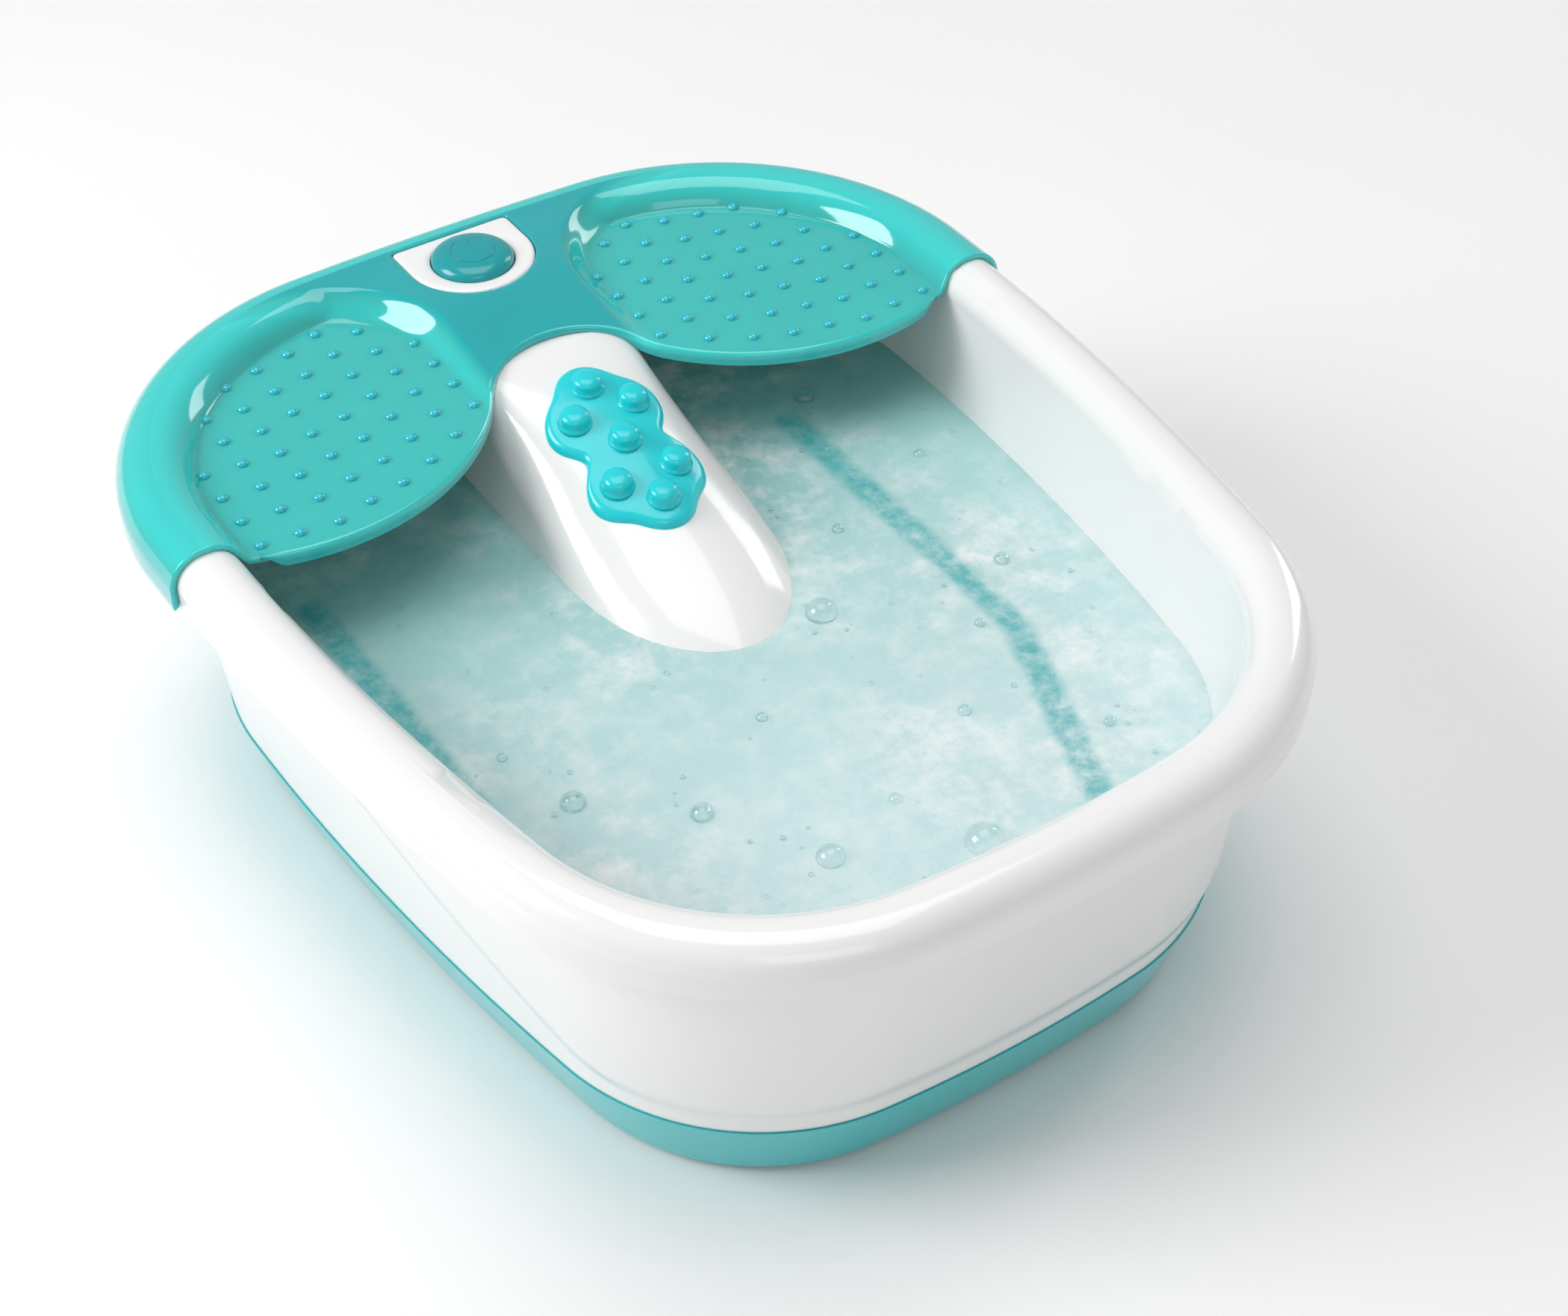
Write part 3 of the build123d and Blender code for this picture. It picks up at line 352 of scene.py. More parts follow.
def ramp(tree, source, stops):
    """Colour ramp through (place, colour) stops, driven by a socket."""
    node = tree.nodes.new("ShaderNodeValToRGB")
    elements = node.color_ramp.elements
    while len(elements) < len(stops):
        elements.new(0.5)
    for element, (place, colour) in zip(elements, stops):
        element.position = place
        element.color = (*colour[:3], 1)
    tree.links.new(source, node.inputs["Fac"])
    return node


def mix(tree, first, second, share, mode="MIX"):
    """Colour mix of two sockets; share is a socket or a number."""
    node = tree.nodes.new("ShaderNodeMix")
    node.data_type = "RGBA"
    node.blend_type = mode
    tree.links.new(first, node.inputs["A"])
    tree.links.new(second, node.inputs["B"])
    if isinstance(share, float):
        node.inputs["Factor"].default_value = share
    else:
        tree.links.new(share, node.inputs["Factor"])
    return node.outputs["Result"]


def shade(colour, factor):
    """A colour made darker or lighter."""
    return tuple(min(1.0, channel * factor) for channel in colour[:3])


def grey(value):
    """A neutral colour, also used where a ramp carries a plain number."""
    return (value, value, value)


def add_bump(tree, shader, scale, strength, distance, detail=3.0):
    """Fine relief from noise that is fixed to the object."""
    relief = tree.nodes.new("ShaderNodeBump")
    relief.inputs["Strength"].default_value = strength
    relief.inputs["Distance"].default_value = distance
    tree.links.new(object_noise(tree, scale, detail).outputs["Fac"], relief.inputs["Height"])
    tree.links.new(relief.outputs["Normal"], shader.inputs["Normal"])


def add_gloss(tree, shader, roughness):
    """Roughness that drifts a little over the surface."""
    noise = object_noise(tree, 45.0)
    gloss = ramp(tree, noise.outputs["Fac"], [(0.3, grey(roughness * 0.8)), (0.7, grey(roughness * 1.25))])
    tree.links.new(gloss.outputs["Color"], shader.inputs["Roughness"])


def moulded(name, colour, roughness=0.2, coat=0.4, grain=900.0, bump=0.02, spread=0.03, sub=0.0):
    """Moulded plastic: faint flow in the colour, uneven gloss and a fine grain."""
    material, tree, shader = new_material(name)
    flow = object_noise(tree, 14.0)
    stops = [(0.3, shade(colour, 1 - spread)), (0.7, shade(colour, 1 + spread))]
    tint = ramp(tree, flow.outputs["Fac"], stops)
    tree.links.new(tint.outputs["Color"], shader.inputs["Base Color"])
    add_gloss(tree, shader, roughness)
    add_bump(tree, shader, grain, bump, 0.0002)
    shader.inputs["Coat Weight"].default_value = coat
    shader.inputs["Coat Roughness"].default_value = 0.05
    if sub:
        shader.inputs["Subsurface Weight"].default_value = sub
        shader.inputs["Subsurface Radius"].default_value = (0.5, 1.0, 1.0)
        shader.inputs["Subsurface Scale"].default_value = 0.006
    return material


def translucent_with_painted_light(name, stops, roughness, coat, sub=0.0):
    """Translucent plastic whose colour carries painted light and shade: it follows a per-point value, from
    painted shade on the deck to painted highlights on the roll and lips.
    """
    material, tree, shader = new_material(name)
    painted_light = tree.nodes.new("ShaderNodeAttribute")
    painted_light.attribute_name = "painted_light"
    base = ramp(tree, painted_light.outputs["Fac"], stops)
    flow = object_noise(tree, 18.0)
    cloud = ramp(tree, flow.outputs["Fac"], [(0.3, grey(0.95)), (0.7, grey(1.0))])
    colour = mix(tree, base.outputs["Color"], cloud.outputs["Color"], 1.0, "MULTIPLY")
    tree.links.new(colour, shader.inputs["Base Color"])
    add_gloss(tree, shader, roughness)
    add_bump(tree, shader, 700.0, 0.02, 0.0002)
    shader.inputs["Coat Weight"].default_value = coat
    shader.inputs["Coat Roughness"].default_value = 0.04
    if sub:
        shader.inputs["Subsurface Weight"].default_value = sub
        shader.inputs["Subsurface Radius"].default_value = (0.3, 1.0, 1.0)
        shader.inputs["Subsurface Scale"].default_value = 0.010
    return material


def metal(name, colour, roughness):
    """Bare metal with brushed streaks."""
    material, tree, shader = new_material(name)
    shader.inputs["Metallic"].default_value = 1.0
    streak = object_noise(tree, 220.0)
    tint = ramp(tree, streak.outputs["Fac"], [(0.3, shade(colour, 0.85)), (0.7, shade(colour, 1.1))])
    tree.links.new(tint.outputs["Color"], shader.inputs["Base Color"])
    add_gloss(tree, shader, roughness)
    add_bump(tree, shader, 400.0, 0.05, 0.0001)
    return material


# Guard colours by painted-light value: 0 is the painted shade of the deck, 1 the painted highlight on top of
# the roll.
GUARD_PAINTED_LIGHT_STOPS = [
    (0.0, (0.004, 0.42, 0.45)),
    (0.25, (0.010, 0.50, 0.52)),
    (0.5, (0.040, 0.56, 0.52)),
    (0.75, (0.030, 0.66, 0.63)),
    (1.0, (0.060, 0.80, 0.76)),
]


def make_materials():
    """Every material of the object, by short name."""
    return {
        "white": moulded("white_moulding", (0.90, 0.90, 0.895), 0.16, 0.5, spread=0.008),
        "turquoise": moulded("turquoise_moulding", (0.028, 0.52, 0.545), 0.2, 0.4, spread=0.02),
        # The guard's colour carries painted light and shade through its stops.
        "guard": translucent_with_painted_light("clear_turquoise", GUARD_PAINTED_LIGHT_STOPS, 0.09, 0.7, 0.5),
        "nub": moulded("clear_turquoise_nubs", (0.006, 0.52, 0.60), 0.06, 0.8),
        "button": moulded("button_moulding", (0.004, 0.34, 0.37), 0.22, 0.3),
        "pad": moulded("soft_pad", (0.010, 0.66, 0.72), 0.2, 0.25, grain=1400.0, bump=0.05, sub=0.1),
        "black": moulded("black_rubber", (0.02, 0.02, 0.02), 0.6, 0.0, bump=0.2),
        "dark": moulded("dark_plastic", (0.035, 0.035, 0.04), 0.45, 0.0, bump=0.1),
        "milky": moulded("milky_tube", (0.7, 0.74, 0.74), 0.3, 0.2),
        "board": moulded("board_lacquer", (0.02, 0.14, 0.05), 0.3, 0.4),
        "lead": moulded("lead_cover", (0.45, 0.03, 0.02), 0.4, 0.0),
        "steel": metal("plain_steel", (0.55, 0.55, 0.56), 0.35),
        "brass": metal("brass", (0.72, 0.52, 0.22), 0.3),
        "aluminium": metal("aluminium", (0.72, 0.72, 0.73), 0.4),
        "copper": metal("copper_wire", (0.6, 0.28, 0.12), 0.35),
    }


SLOT_MATERIAL = {
    "white_shell": "white",
    "turquoise_base": "turquoise",
    "turquoise_clear": "guard",
    "turquoise_button": "button",
    "pad_rubber": "pad",
    "black_rubber": "black",
    "dark_plastic": "dark",
    "clear_rubber": "milky",
    "board_green": "board",
    "lead_cover": "lead",
    "steel": "steel",
    "brass_weight": "brass",
    "heater_metal": "aluminium",
    "copper": "copper",
}


def dress_cad_nodes(materials):
    """Gives each CAD node the material of its slot in the record."""
    for entry in frame["record"]["subparts"]:
        node = frame["nodes"][entry["node"]]
        node.data.materials.clear()
        node.data.materials.append(materials[SLOT_MATERIAL[entry["material_slot"]]])


# ---- splash guard ------------------------------------------------------------------------------
def arc_through(first, middle, last, count):
    """Points along the circular arc through three points."""
    a, b, c = (complex(*point) for point in (first, middle, last))
    ratio = (c - a) / (b - a)
    centre = (a - b) * (ratio - abs(ratio) ** 2) / (2j * ratio.imag) - a
    centre = -centre
    start = math.atan2((a - centre).imag, (a - centre).real)
    turn = math.atan2(((c - centre) / (a - centre)).imag, ((c - centre) / (a - centre)).real)
    half = math.atan2(((b - centre) / (a - centre)).imag, ((b - centre) / (a - centre)).real)
    if turn * half < 0 or abs(half) > abs(turn):
        turn += 2 * math.pi if turn < 0 else -2 * math.pi
    radius = abs(a - centre)
    angles = start + np.linspace(0.0, turn, count)
    return np.stack([centre.real + radius * np.cos(angles), centre.imag + radius * np.sin(angles)], axis=1)


def guard_front_edge():
    """Right-hand half of the guard's front edge, from the middle of the arch to its end at the rim."""
    mirror_neck = (-NECK[0], NECK[1])
    arch = arc_through(mirror_neck, (0.0, ARCH_Y), NECK, 81)[40:]
    scallop = arc_through(NECK, (LIP_X, LIP_Y), (PAN_END_X, PAN_END_Y), 160)
    return np.concatenate([arch, scallop[1:]])


def guard_end_y(x, front):
    """Y of the guard's front boundary at a given X near its end."""
    tail = front[front[:, 0] >= LIP_X]
    if x <= PAN_END_X:
        return float(np.interp(x, tail[:, 0], tail[:, 1]))
    return PAN_END_Y - 0.01 * (x - PAN_END_X)


def guard_row(inset, columns, front):
    """Right-hand half of a line at one inset, from the middle of the back to the guard's end."""
    points = outline(inset, 0.8)
    half = points[: len(points) // 2]
    kept = []
    for x, y in half:
        if y < guard_end_y(x, front):
            before = kept[-1]
            low = before[1] - guard_end_y(before[0], front)
            high = guard_end_y(x, front) - y
            share = low / (low + high)
            kept.append((before[0] + share * (x - before[0]), before[1] + share * (y - before[1])))
            break
        kept.append((x, y))
    return resample(kept, columns)


def roll_height(inset):
    """Height of the guard's rolled edge at an inset past its crown."""
    past = inset - (ROLL_CENTRE + ROLL_FLAT)
    if past <= 0:
        return GUARD_TOP
    if past < ROLL_RADIUS:
        return GUARD_TOP - ROLL_RADIUS + math.sqrt(ROLL_RADIUS**2 - past**2)
    return GUARD_TOP - ROLL_RADIUS - 5.0 * (past - ROLL_RADIUS)


def pan_depth(x, y):
    """Distance inside the nearer pan's plan, negative on the deck."""
    centre = DECK_HALF + PAN_CORNER
    across = centre - np.abs(x)
    back = y - PAN_CORNER_Y
    corner = PAN_CORNER - np.hypot(np.maximum(across, 0.0), np.maximum(back, 0.0))
    inner = PAN_CORNER - np.maximum(across, back)
    return np.where((across > 0) | (back > 0), corner, inner)


def guard_inside(x, y, roll):
    """Height and painted light of the guard between its roll and its front edge: painted shade on the deck,
    lighter pans, and painted highlights on the pan walls and where the roll runs down into the pans.
    """
    pan = smoothstep(pan_depth(x, y), *PAN_WALL)
    fall = DECK_BEND_Y - y
    deck = GUARD_TOP - DECK_SLOPE * (fall + np.sqrt(fall**2 + 30.0)) / 2.0
    floor = deck + (PAN_TOP - deck) * pan
    blend = 0.3 + 5.0 * pan
    height = smooth_max(np.full_like(floor, roll), floor, blend)
    slope = 4.0 * pan * (1.0 - pan)
    crest = smoothstep(height, PAN_TOP + 0.5, GUARD_TOP - 1.0) * smoothstep(pan, 0.6, 1.0)
    # Painted light: the pans lighter than the deck, painted highlights on the pan walls and where the roll
    # runs down into the pans.
    painted_light = 0.02 + 0.44 * pan + 0.45 * slope + 0.4 * crest
    return height, painted_light


def shield_distance(x, y, grow, corner=2.0):
    """Signed distance to the panel's plan: straight sides behind, a half circle in front."""
    half = PANEL_HALF + grow
    shoulder = PANEL_FRONT_Y + PANEL_HALF
    front = np.hypot(x, y - shoulder) - half
    side = np.abs(x) - (half - corner)
    back = y - (PANEL_BACK_Y + grow - corner)
    rear = np.hypot(np.maximum(side, 0), np.maximum(back, 0)) + np.minimum(np.maximum(side, back), 0) - corner
    return np.where(y < shoulder, front, rear)


def cut_panel_hole(piece):
    """Opens the guard round the panel, with a clean edge."""
    work = bmesh.new()
    work.from_mesh(piece.data)
    doomed = []
    for face in work.faces:
        middle = face.calc_center_median()
        if float(shield_distance(middle.x / MM, middle.y / MM, PANEL_FIT)) < 0:
            doomed.append(face)
    bmesh.ops.delete(work, geom=doomed, context="FACES")
    probe = 0.05
    for vert in work.verts:
        x, y = vert.co.x / MM, vert.co.y / MM
        if not vert.is_boundary or abs(x) > PANEL_HALF + 3 or not PANEL_FRONT_Y - 3 < y < PANEL_BACK_Y + 3:
            continue
        for _ in range(3):
            away = float(shield_distance(x, y, PANEL_FIT))
            slope_x = float(shield_distance(x + probe, y, PANEL_FIT)) - away
            slope_y = float(shield_distance(x, y + probe, PANEL_FIT)) - away
            x -= away * slope_x / probe
            y -= away * slope_y / probe
        vert.co.x = x * MM
        vert.co.y = y * MM
    work.to_mesh(piece.data)
    work.free()


def make_guard(materials, tub_tree):
    """Splash guard: rolled outer edge, two shallow pans, raised deck and turned-down front lips."""
    columns = GUARD_COLUMNS
    front = guard_front_edge()
    rows = []
    # Skirt rows carry painted shade, a little lighter with each row up.
    for height in (GUARD_BOTTOM, GUARD_BOTTOM + 0.6, GUARD_BOTTOM + 3.0, GUARD_TOP - ROLL_RADIUS - 1.0):
        inset = -GUARD_OUT + (0.4 if height == GUARD_BOTTOM else 0.0)
        rows.append((guard_row(inset, columns, front), height, 0.16 + 0.04 * len(rows)))
    for step in range(1, 15):
        angle = math.pi / 2 * step / 14
        inset = ROLL_CENTRE - ROLL_RADIUS * math.cos(angle)
        height = GUARD_TOP - ROLL_RADIUS + ROLL_RADIUS * math.sin(angle)
        # Painted highlight: the roll's colour gets lighter towards its top.
        painted_light = 0.3 + 0.5 * smoothstep(math.sin(angle), 0.2, 0.9)
        rows.append((guard_row(inset, columns, front), height, float(painted_light)))
    inner = []
    for inset in np.arange(ROLL_CENTRE + 0.7, ROLL_INNER + 0.01, ROLL_STEP):
        line = guard_row(inset, columns, front)
        inner.append((line, roll_height(inset)))
    edge = inner[-1][0]
    end = int(np.argmin(np.hypot(*(front - edge[-1]).T)))
    lip = resample(np.concatenate([front[:end], [edge[-1]]]), columns)
    run = np.gradient(lip, axis=0)
    run /= np.linalg.norm(run, axis=1)[:, None]
    outward = np.stack([run[:, 1], -run[:, 0]], axis=1)
    left = np.cumsum(np.hypot(*np.diff(lip[::-1], axis=0).T))
    ease = 0.06 + 0.94 * smoothstep(np.concatenate([[0.0], left])[::-1], 0.0, LIP_FADE)
    rounding = LIP_ROUND * ease
    lip_in = lip - outward * rounding[:, None]
    lip_in[0] = (0.0, lip[0][1] + LIP_ROUND)
    verts = []
    painted_light_values = []

    def add_row(points, heights, painted_light):
        """Adds a right-hand half row and its mirror image."""
        heights = np.broadcast_to(heights, len(points))
        painted_light = np.broadcast_to(painted_light, len(points))
        whole = [(-x, y, z) for (x, y), z in zip(points[::-1], heights[::-1])]
        whole += [(x, y, z) for (x, y), z in zip(points[1:], heights[1:])]
        verts.extend(whole)
        painted_light_values.extend(list(painted_light[::-1]) + list(painted_light[1:]))

    for points, height, painted_light in rows:
        add_row(points, height, painted_light)
    for points, roll in inner:
        height, painted_light = guard_inside(points[:, 0], points[:, 1], roll)
        add_row(points, height, painted_light)
    for step in range(1, PAN_ROWS + 1):
        share = step / PAN_ROWS
        points = edge * (1 - share) + lip_in * share
        height, painted_light = guard_inside(points[:, 0], points[:, 1], 0.0)
        add_row(points, height, painted_light)
    top, painted_light = guard_inside(lip_in[:, 0], lip_in[:, 1], 0.0)
    # The lip's rounded edge carries a painted highlight.
    for angle in (25, 50, 70, 90):
        turn = math.radians(angle)
        points = lip_in + outward * rounding[:, None] * math.sin(turn)
        add_row(points, top - rounding * (1 - math.cos(turn)), painted_light + 0.25)
    low = []
    for (x, y), height, fade in zip(lip, top, ease):
        hump = drop_height(tub_tree, x, y - 0.5)
        wanted = height - PAN_LIP * fade
        if hump is not None and hump > CONSOLE_LEVEL:
            wanted = max(wanted, hump + CONSOLE_FIT)
        low.append(min(wanted, height - (LIP_ROUND + 0.2) * fade))
    low = np.array(low)
    for share in (0.5, 0.9, 1.0):
        add_row(lip, (top - rounding) * (1 - share) + low * share, 0.3)
    across = 2 * columns - 1
    faces = grid_faces(len(verts) // across, across)
    piece = add_piece("guard_shell", verts, faces, materials["guard"], "guard", "turquoise_clear")
    # The painted light and shade is kept per point for the guard's material.
    attribute = piece.data.attributes.new("painted_light", "FLOAT", "POINT")
    attribute.data.foreach_set("value", np.clip(np.array(painted_light_values, dtype=np.float32), 0.0, 1.0))
    turn_up(piece)
    if piece.data.polygons[len(piece.data.polygons) // 2].normal.z < 0:
        piece.data.flip_normals()
    cut_panel_hole(piece)
    wall = piece.modifiers.new("wall", "SOLIDIFY")
    wall.thickness = GUARD_WALL * MM
    wall.offset = -1.0
    return piece


def make_guard_nubs(materials):
    """Low domes on both pans."""
    profile = [(0.0, -0.6), (NUB_RADIUS, -0.6)]
    for step in range(8):
        turn = math.pi / 2 * step / 8
        profile.append((NUB_RADIUS * math.cos(turn), (NUB_HEIGHT + 0.2) * math.sin(turn)))
    profile.append((0.0, NUB_HEIGHT + 0.2))
    dome = lathe(profile, 24)
    shapes = []
    for column, (count, last) in enumerate(NUB_COLUMNS):
        x = NUB_FIRST_X + NUB_PITCH[0] * column
        for row in range(count):
            y = last - NUB_PITCH[1] * row
            for side in (-1, 1):
                height, _ = guard_inside(np.array([side * x]), np.array([y]), 0.0)
                shapes.append(moved(dome, (side * x, y, float(height[0]))))
    verts, faces = joined(shapes)
    add_piece("guard_nubs", verts, faces, materials["nub"], "guard", "turquoise_clear")


# ---- housing -----------------------------------------------------------------------------------
def make_housing(materials):
    """Outer wall with a soft ledge that climbs towards the back, a return at the top and a turned-in foot."""
    heights = [HOUSING_LOW_Z, HOUSING_LOW_Z + 0.5]
    heights += list(np.arange(HOUSING_LOW_Z + 1.5, FLANGE_Z, 1.0)) + [FLANGE_Z, 130.0, HOUSING_TOP_Z]
    verts = []
    count = len(outline(HOUSING_LOW_INSET, 2.0))
    for number, z in enumerate(heights):
        share = min(1.0, (z - HOUSING_LOW_Z) / (FLANGE_Z - HOUSING_LOW_Z))
        base = HOUSING_LOW_INSET + (HOUSING_TOP_INSET + LEDGE_STEP - HOUSING_LOW_INSET) * share
        low = outline(base + (0.4 if number == 0 else 0.0), 2.0)
        proud = outline(base - LEDGE_STEP, 2.0)
        rise = LEDGE_BEND_Y - low[:, 1]
        ledge = LEDGE_Z + LEDGE_SLOPE * (np.sqrt(rise**2 + 60.0) - rise) / 2.0
        step = smoothstep(z, ledge - LEDGE_TALL / 2, ledge + LEDGE_TALL / 2)
        points = low[:count] * (1 - step[:, None]) + proud[:count] * step[:, None]
        verts += [(x, y, z) for x, y in points]
    faces = grid_faces(len(heights), count, wrap=True)
    piece = add_piece("housing_shell", verts, faces, materials["white"], "basin", "white_shell")
    turn_up(piece)
    wall = piece.modifiers.new("wall", "SOLIDIFY")
    wall.thickness = (WALL - 0.2) * MM
    wall.offset = -1.0
    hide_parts("outer_housing")


# ---- panel and button --------------------------------------------------------------------------
def shield_line(grow, corner, count):
    """Points round the panel's plan, by angle about the button."""
    points = []
    for step in range(count):
        angle = 2 * math.pi * step / count
        reach_low, reach_high = 5.0, 60.0
        for _ in range(30):
            reach = (reach_low + reach_high) / 2
            x = reach * math.cos(angle)
            y = BUTTON_Y + reach * math.sin(angle)
            if float(shield_distance(x, y, grow, corner)) < 0:
                reach_low = reach
            else:
                reach_high = reach
        points.append((x, y))
    return points


def make_panel(materials):
    """Shield-shaped panel with a bullnose edge, dished a little towards the button's well."""
    count = PANEL_POINTS
    top = PANEL_TOP
    rings = [(0.0, PANEL_LOW), (0.0, top - 1.4), (-0.25, top - 0.6), (-0.8, top - 0.1), (-1.6, top)]
    verts = []
    for grow, z in rings:
        verts += [(x, y, z) for x, y in shield_line(grow, 2.0, count)]
    edge = np.array(shield_line(-1.6, 2.0, count))
    circle = [2 * math.pi * step / count for step in range(count)]
    lead_in = WELL_RADIUS + 0.4
    well = np.array([(lead_in * math.cos(a), BUTTON_Y + lead_in * math.sin(a)) for a in circle])
    for share, z in ((0.35, top - 0.05), (0.8, top - 0.25), (1.0, top - 0.4)):
        points = edge * (1 - share) + well * share
        verts += [(x, y, z) for x, y in points]
    for radius, z in ((WELL_RADIUS + 0.1, top - 0.7), (WELL_RADIUS, top - 1.2), (WELL_RADIUS, PANEL_LOW)):
        verts += [(radius * math.cos(a), BUTTON_Y + radius * math.sin(a), z) for a in circle]
    rows = len(verts) // count
    faces = grid_faces(rows, count, wrap=True)
    for step in range(count):
        after = (step + 1) % count
        last = (rows - 1) * count
        faces.append((last + step, last + after, after, step))
    piece = add_piece("panel_shield", verts, faces, materials["white"], "basin", "white_shell")
    turn_up(piece)
    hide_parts("control_panel")


def cap_height(radius):
    """Height of the button's top at a distance from its axis."""
    share = min(1.0, radius / BUTTON_RADIUS)
    return BUTTON_TOP - 0.7 * share**2 - 4.2 * (1 - (1 - share**5) ** 0.5)


def make_button(materials):
    """Domed cap with a round nose, hollow below, and a raised power sign."""
    hollow = BUTTON_RADIUS - CAP_WALL
    profile = [(0.0, BUTTON_TOP - CAP_DEPTH), (hollow, BUTTON_TOP - CAP_DEPTH), (hollow, BUTTON_LOW)]
    profile += [(BUTTON_RADIUS - 0.3, BUTTON_LOW), (BUTTON_RADIUS, BUTTON_LOW + 0.4)]
    shares = [1.0, 0.998, 0.99, 0.975, 0.95, 0.92, 0.88, 0.83, 0.76, 0.68, 0.58, 0.45, 0.3, 0.15]
    profile += [(BUTTON_RADIUS * share, cap_height(BUTTON_RADIUS * share)) for share in shares]
    profile.append((0.0, BUTTON_TOP))
    cap = moved(lathe(profile, 128), (0.0, BUTTON_Y, 0.0))
    piece = add_piece("button_cap", *cap, materials["button"], "button", "turquoise_button")
    turn_up(piece)
    gap = math.radians(SIGN_GAP)
    ring = []
    for step in range(91):
        angle = math.pi / 2 + gap + (2 * math.pi - 2 * gap) * step / 90
        ring.append((SIGN_RADIUS * math.cos(angle), SIGN_RADIUS * math.sin(angle)))
    bars = [[(side * 1.5, y) for y in np.linspace(5.6, 11.2, 12)] for side in (-1, 1)]
    shapes = [raised_line(line, SIGN_BEAD) for line in [ring, *bars]]
    verts, faces = joined(shapes)
    sign = add_piece("button_sign", verts, faces, materials["button"], "button", "turquoise_button")
    turn_up(sign)
    stem_top = BUTTON_TOP - 4.0
    stem = [(0.0, STEM_LOW), (STEM_RADIUS, STEM_LOW), (STEM_RADIUS, stem_top), (0.0, stem_top)]
    stem_shape = moved(lathe(stem, 32), (0.0, BUTTON_Y, 0.0))
    plastic = materials["button"]
    post = add_piece("button_stem", *stem_shape, plastic, "button", "turquoise_button", smooth=False)
    turn_up(post)
    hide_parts("power_button")


def raised_line(line, radius):
    """A rounded bead along a line on the button's top."""
    around = 8
    line = np.array(line)
    run = np.gradient(line, axis=0)
    run /= np.linalg.norm(run, axis=1)[:, None]
    verts = []
    for (x, y), (along_x, along_y) in zip(line, run):
        z = cap_height(math.hypot(x, y))
        for step in range(around):
            turn = 2 * math.pi * step / around
            side = radius * math.cos(turn)
            lift = radius * math.sin(turn) * 0.8
            verts.append((x - along_y * side, BUTTON_Y + y + along_x * side, z + lift))
    faces = grid_faces(len(line), around, wrap=True)
    faces.append(tuple(range(around)))
    faces.append(tuple(range(len(verts) - around, len(verts))))
    return verts, faces


# ---- massage pad -------------------------------------------------------------------------------
def pad_reach(angle):
    """How far the pad's edge is from its middle: a disc round each nub, joined smoothly."""
    low, high = 5.0, 60.0
    for _ in range(28):
        reach = (low + high) / 2
        x = reach * math.sin(angle)
        y = PAD_CENTRE_Y + reach * math.cos(angle)
        if pad_distance(x, y) < 0:
            low = reach
        else:
            high = reach
    return low


def pad_distance(x, y):
    """Signed distance to the pad's lobed plan."""
    total = 0.0
    for nub_x, nub_y in PAD_NUBS:
        total += math.exp(-(math.hypot(x - nub_x, y - nub_y) - PAD_LOBE) / PAD_JOIN)
    return -PAD_JOIN * math.log(total)


def make_pad(materials, tub_tree):
    """Soft pad over the console: a lobed sheet with a rounded edge and seven domed nubs."""
    around = 260
    rings = [0.0, 0.06, 0.14] + list(np.linspace(0.22, 0.9, 34)) + [0.93, 0.955, 0.975, 0.99, 1.0]
    reaches = [pad_reach(2 * math.pi * step / around) for step in range(around)]
    verts = []
    for share in rings[1:]:
        for step, reach in enumerate(reaches):
            angle = 2 * math.pi * step / around
            x = share * reach * math.sin(angle)
            y = PAD_CENTRE_Y + share * reach * math.cos(angle)
            inside = reach * (1 - share)
            verts.append((x, y, drop_height(tub_tree, x, y) + pad_rise(inside)))
    last_ring = verts[-around:]
    verts += [(x, y, z - 1.2) for x, y, z in last_ring]
    top = (0.0, PAD_CENTRE_Y, drop_height(tub_tree, 0.0, PAD_CENTRE_Y) + PAD_THICK)
    verts.append(top)
    rows = len(rings)
    faces = grid_faces(rows, around, wrap=True)
    faces += [(len(verts) - 1, (step + 1) % around, step) for step in range(around)]
    low = (rows - 1) * around
    under = len(verts)
    verts.append((0.0, PAD_CENTRE_Y, drop_height(tub_tree, 0.0, PAD_CENTRE_Y) + 0.15))
    faces += [(under, low + step, low + (step + 1) % around) for step in range(around)]
    sheet = add_piece("pad_sheet", verts, faces, materials["pad"], "basin", "pad_rubber")
    turn_up(sheet)
    shapes = [pad_nub(x, y, tub_tree) for x, y in PAD_NUBS]
    points, polygons = joined(shapes)
    nubs = add_piece("pad_nubs", points, polygons, materials["pad"], "basin", "pad_rubber")
    turn_up(nubs)
    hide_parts("massage_pad")


def pad_rise(inside):
    """Height of the pad's top above the console, by distance in from its edge."""
    share = min(1.0, inside / PAD_EDGE_ROUND)
    return PAD_EDGE + (PAD_THICK - PAD_EDGE) * math.sqrt(1 - (1 - share) ** 2)


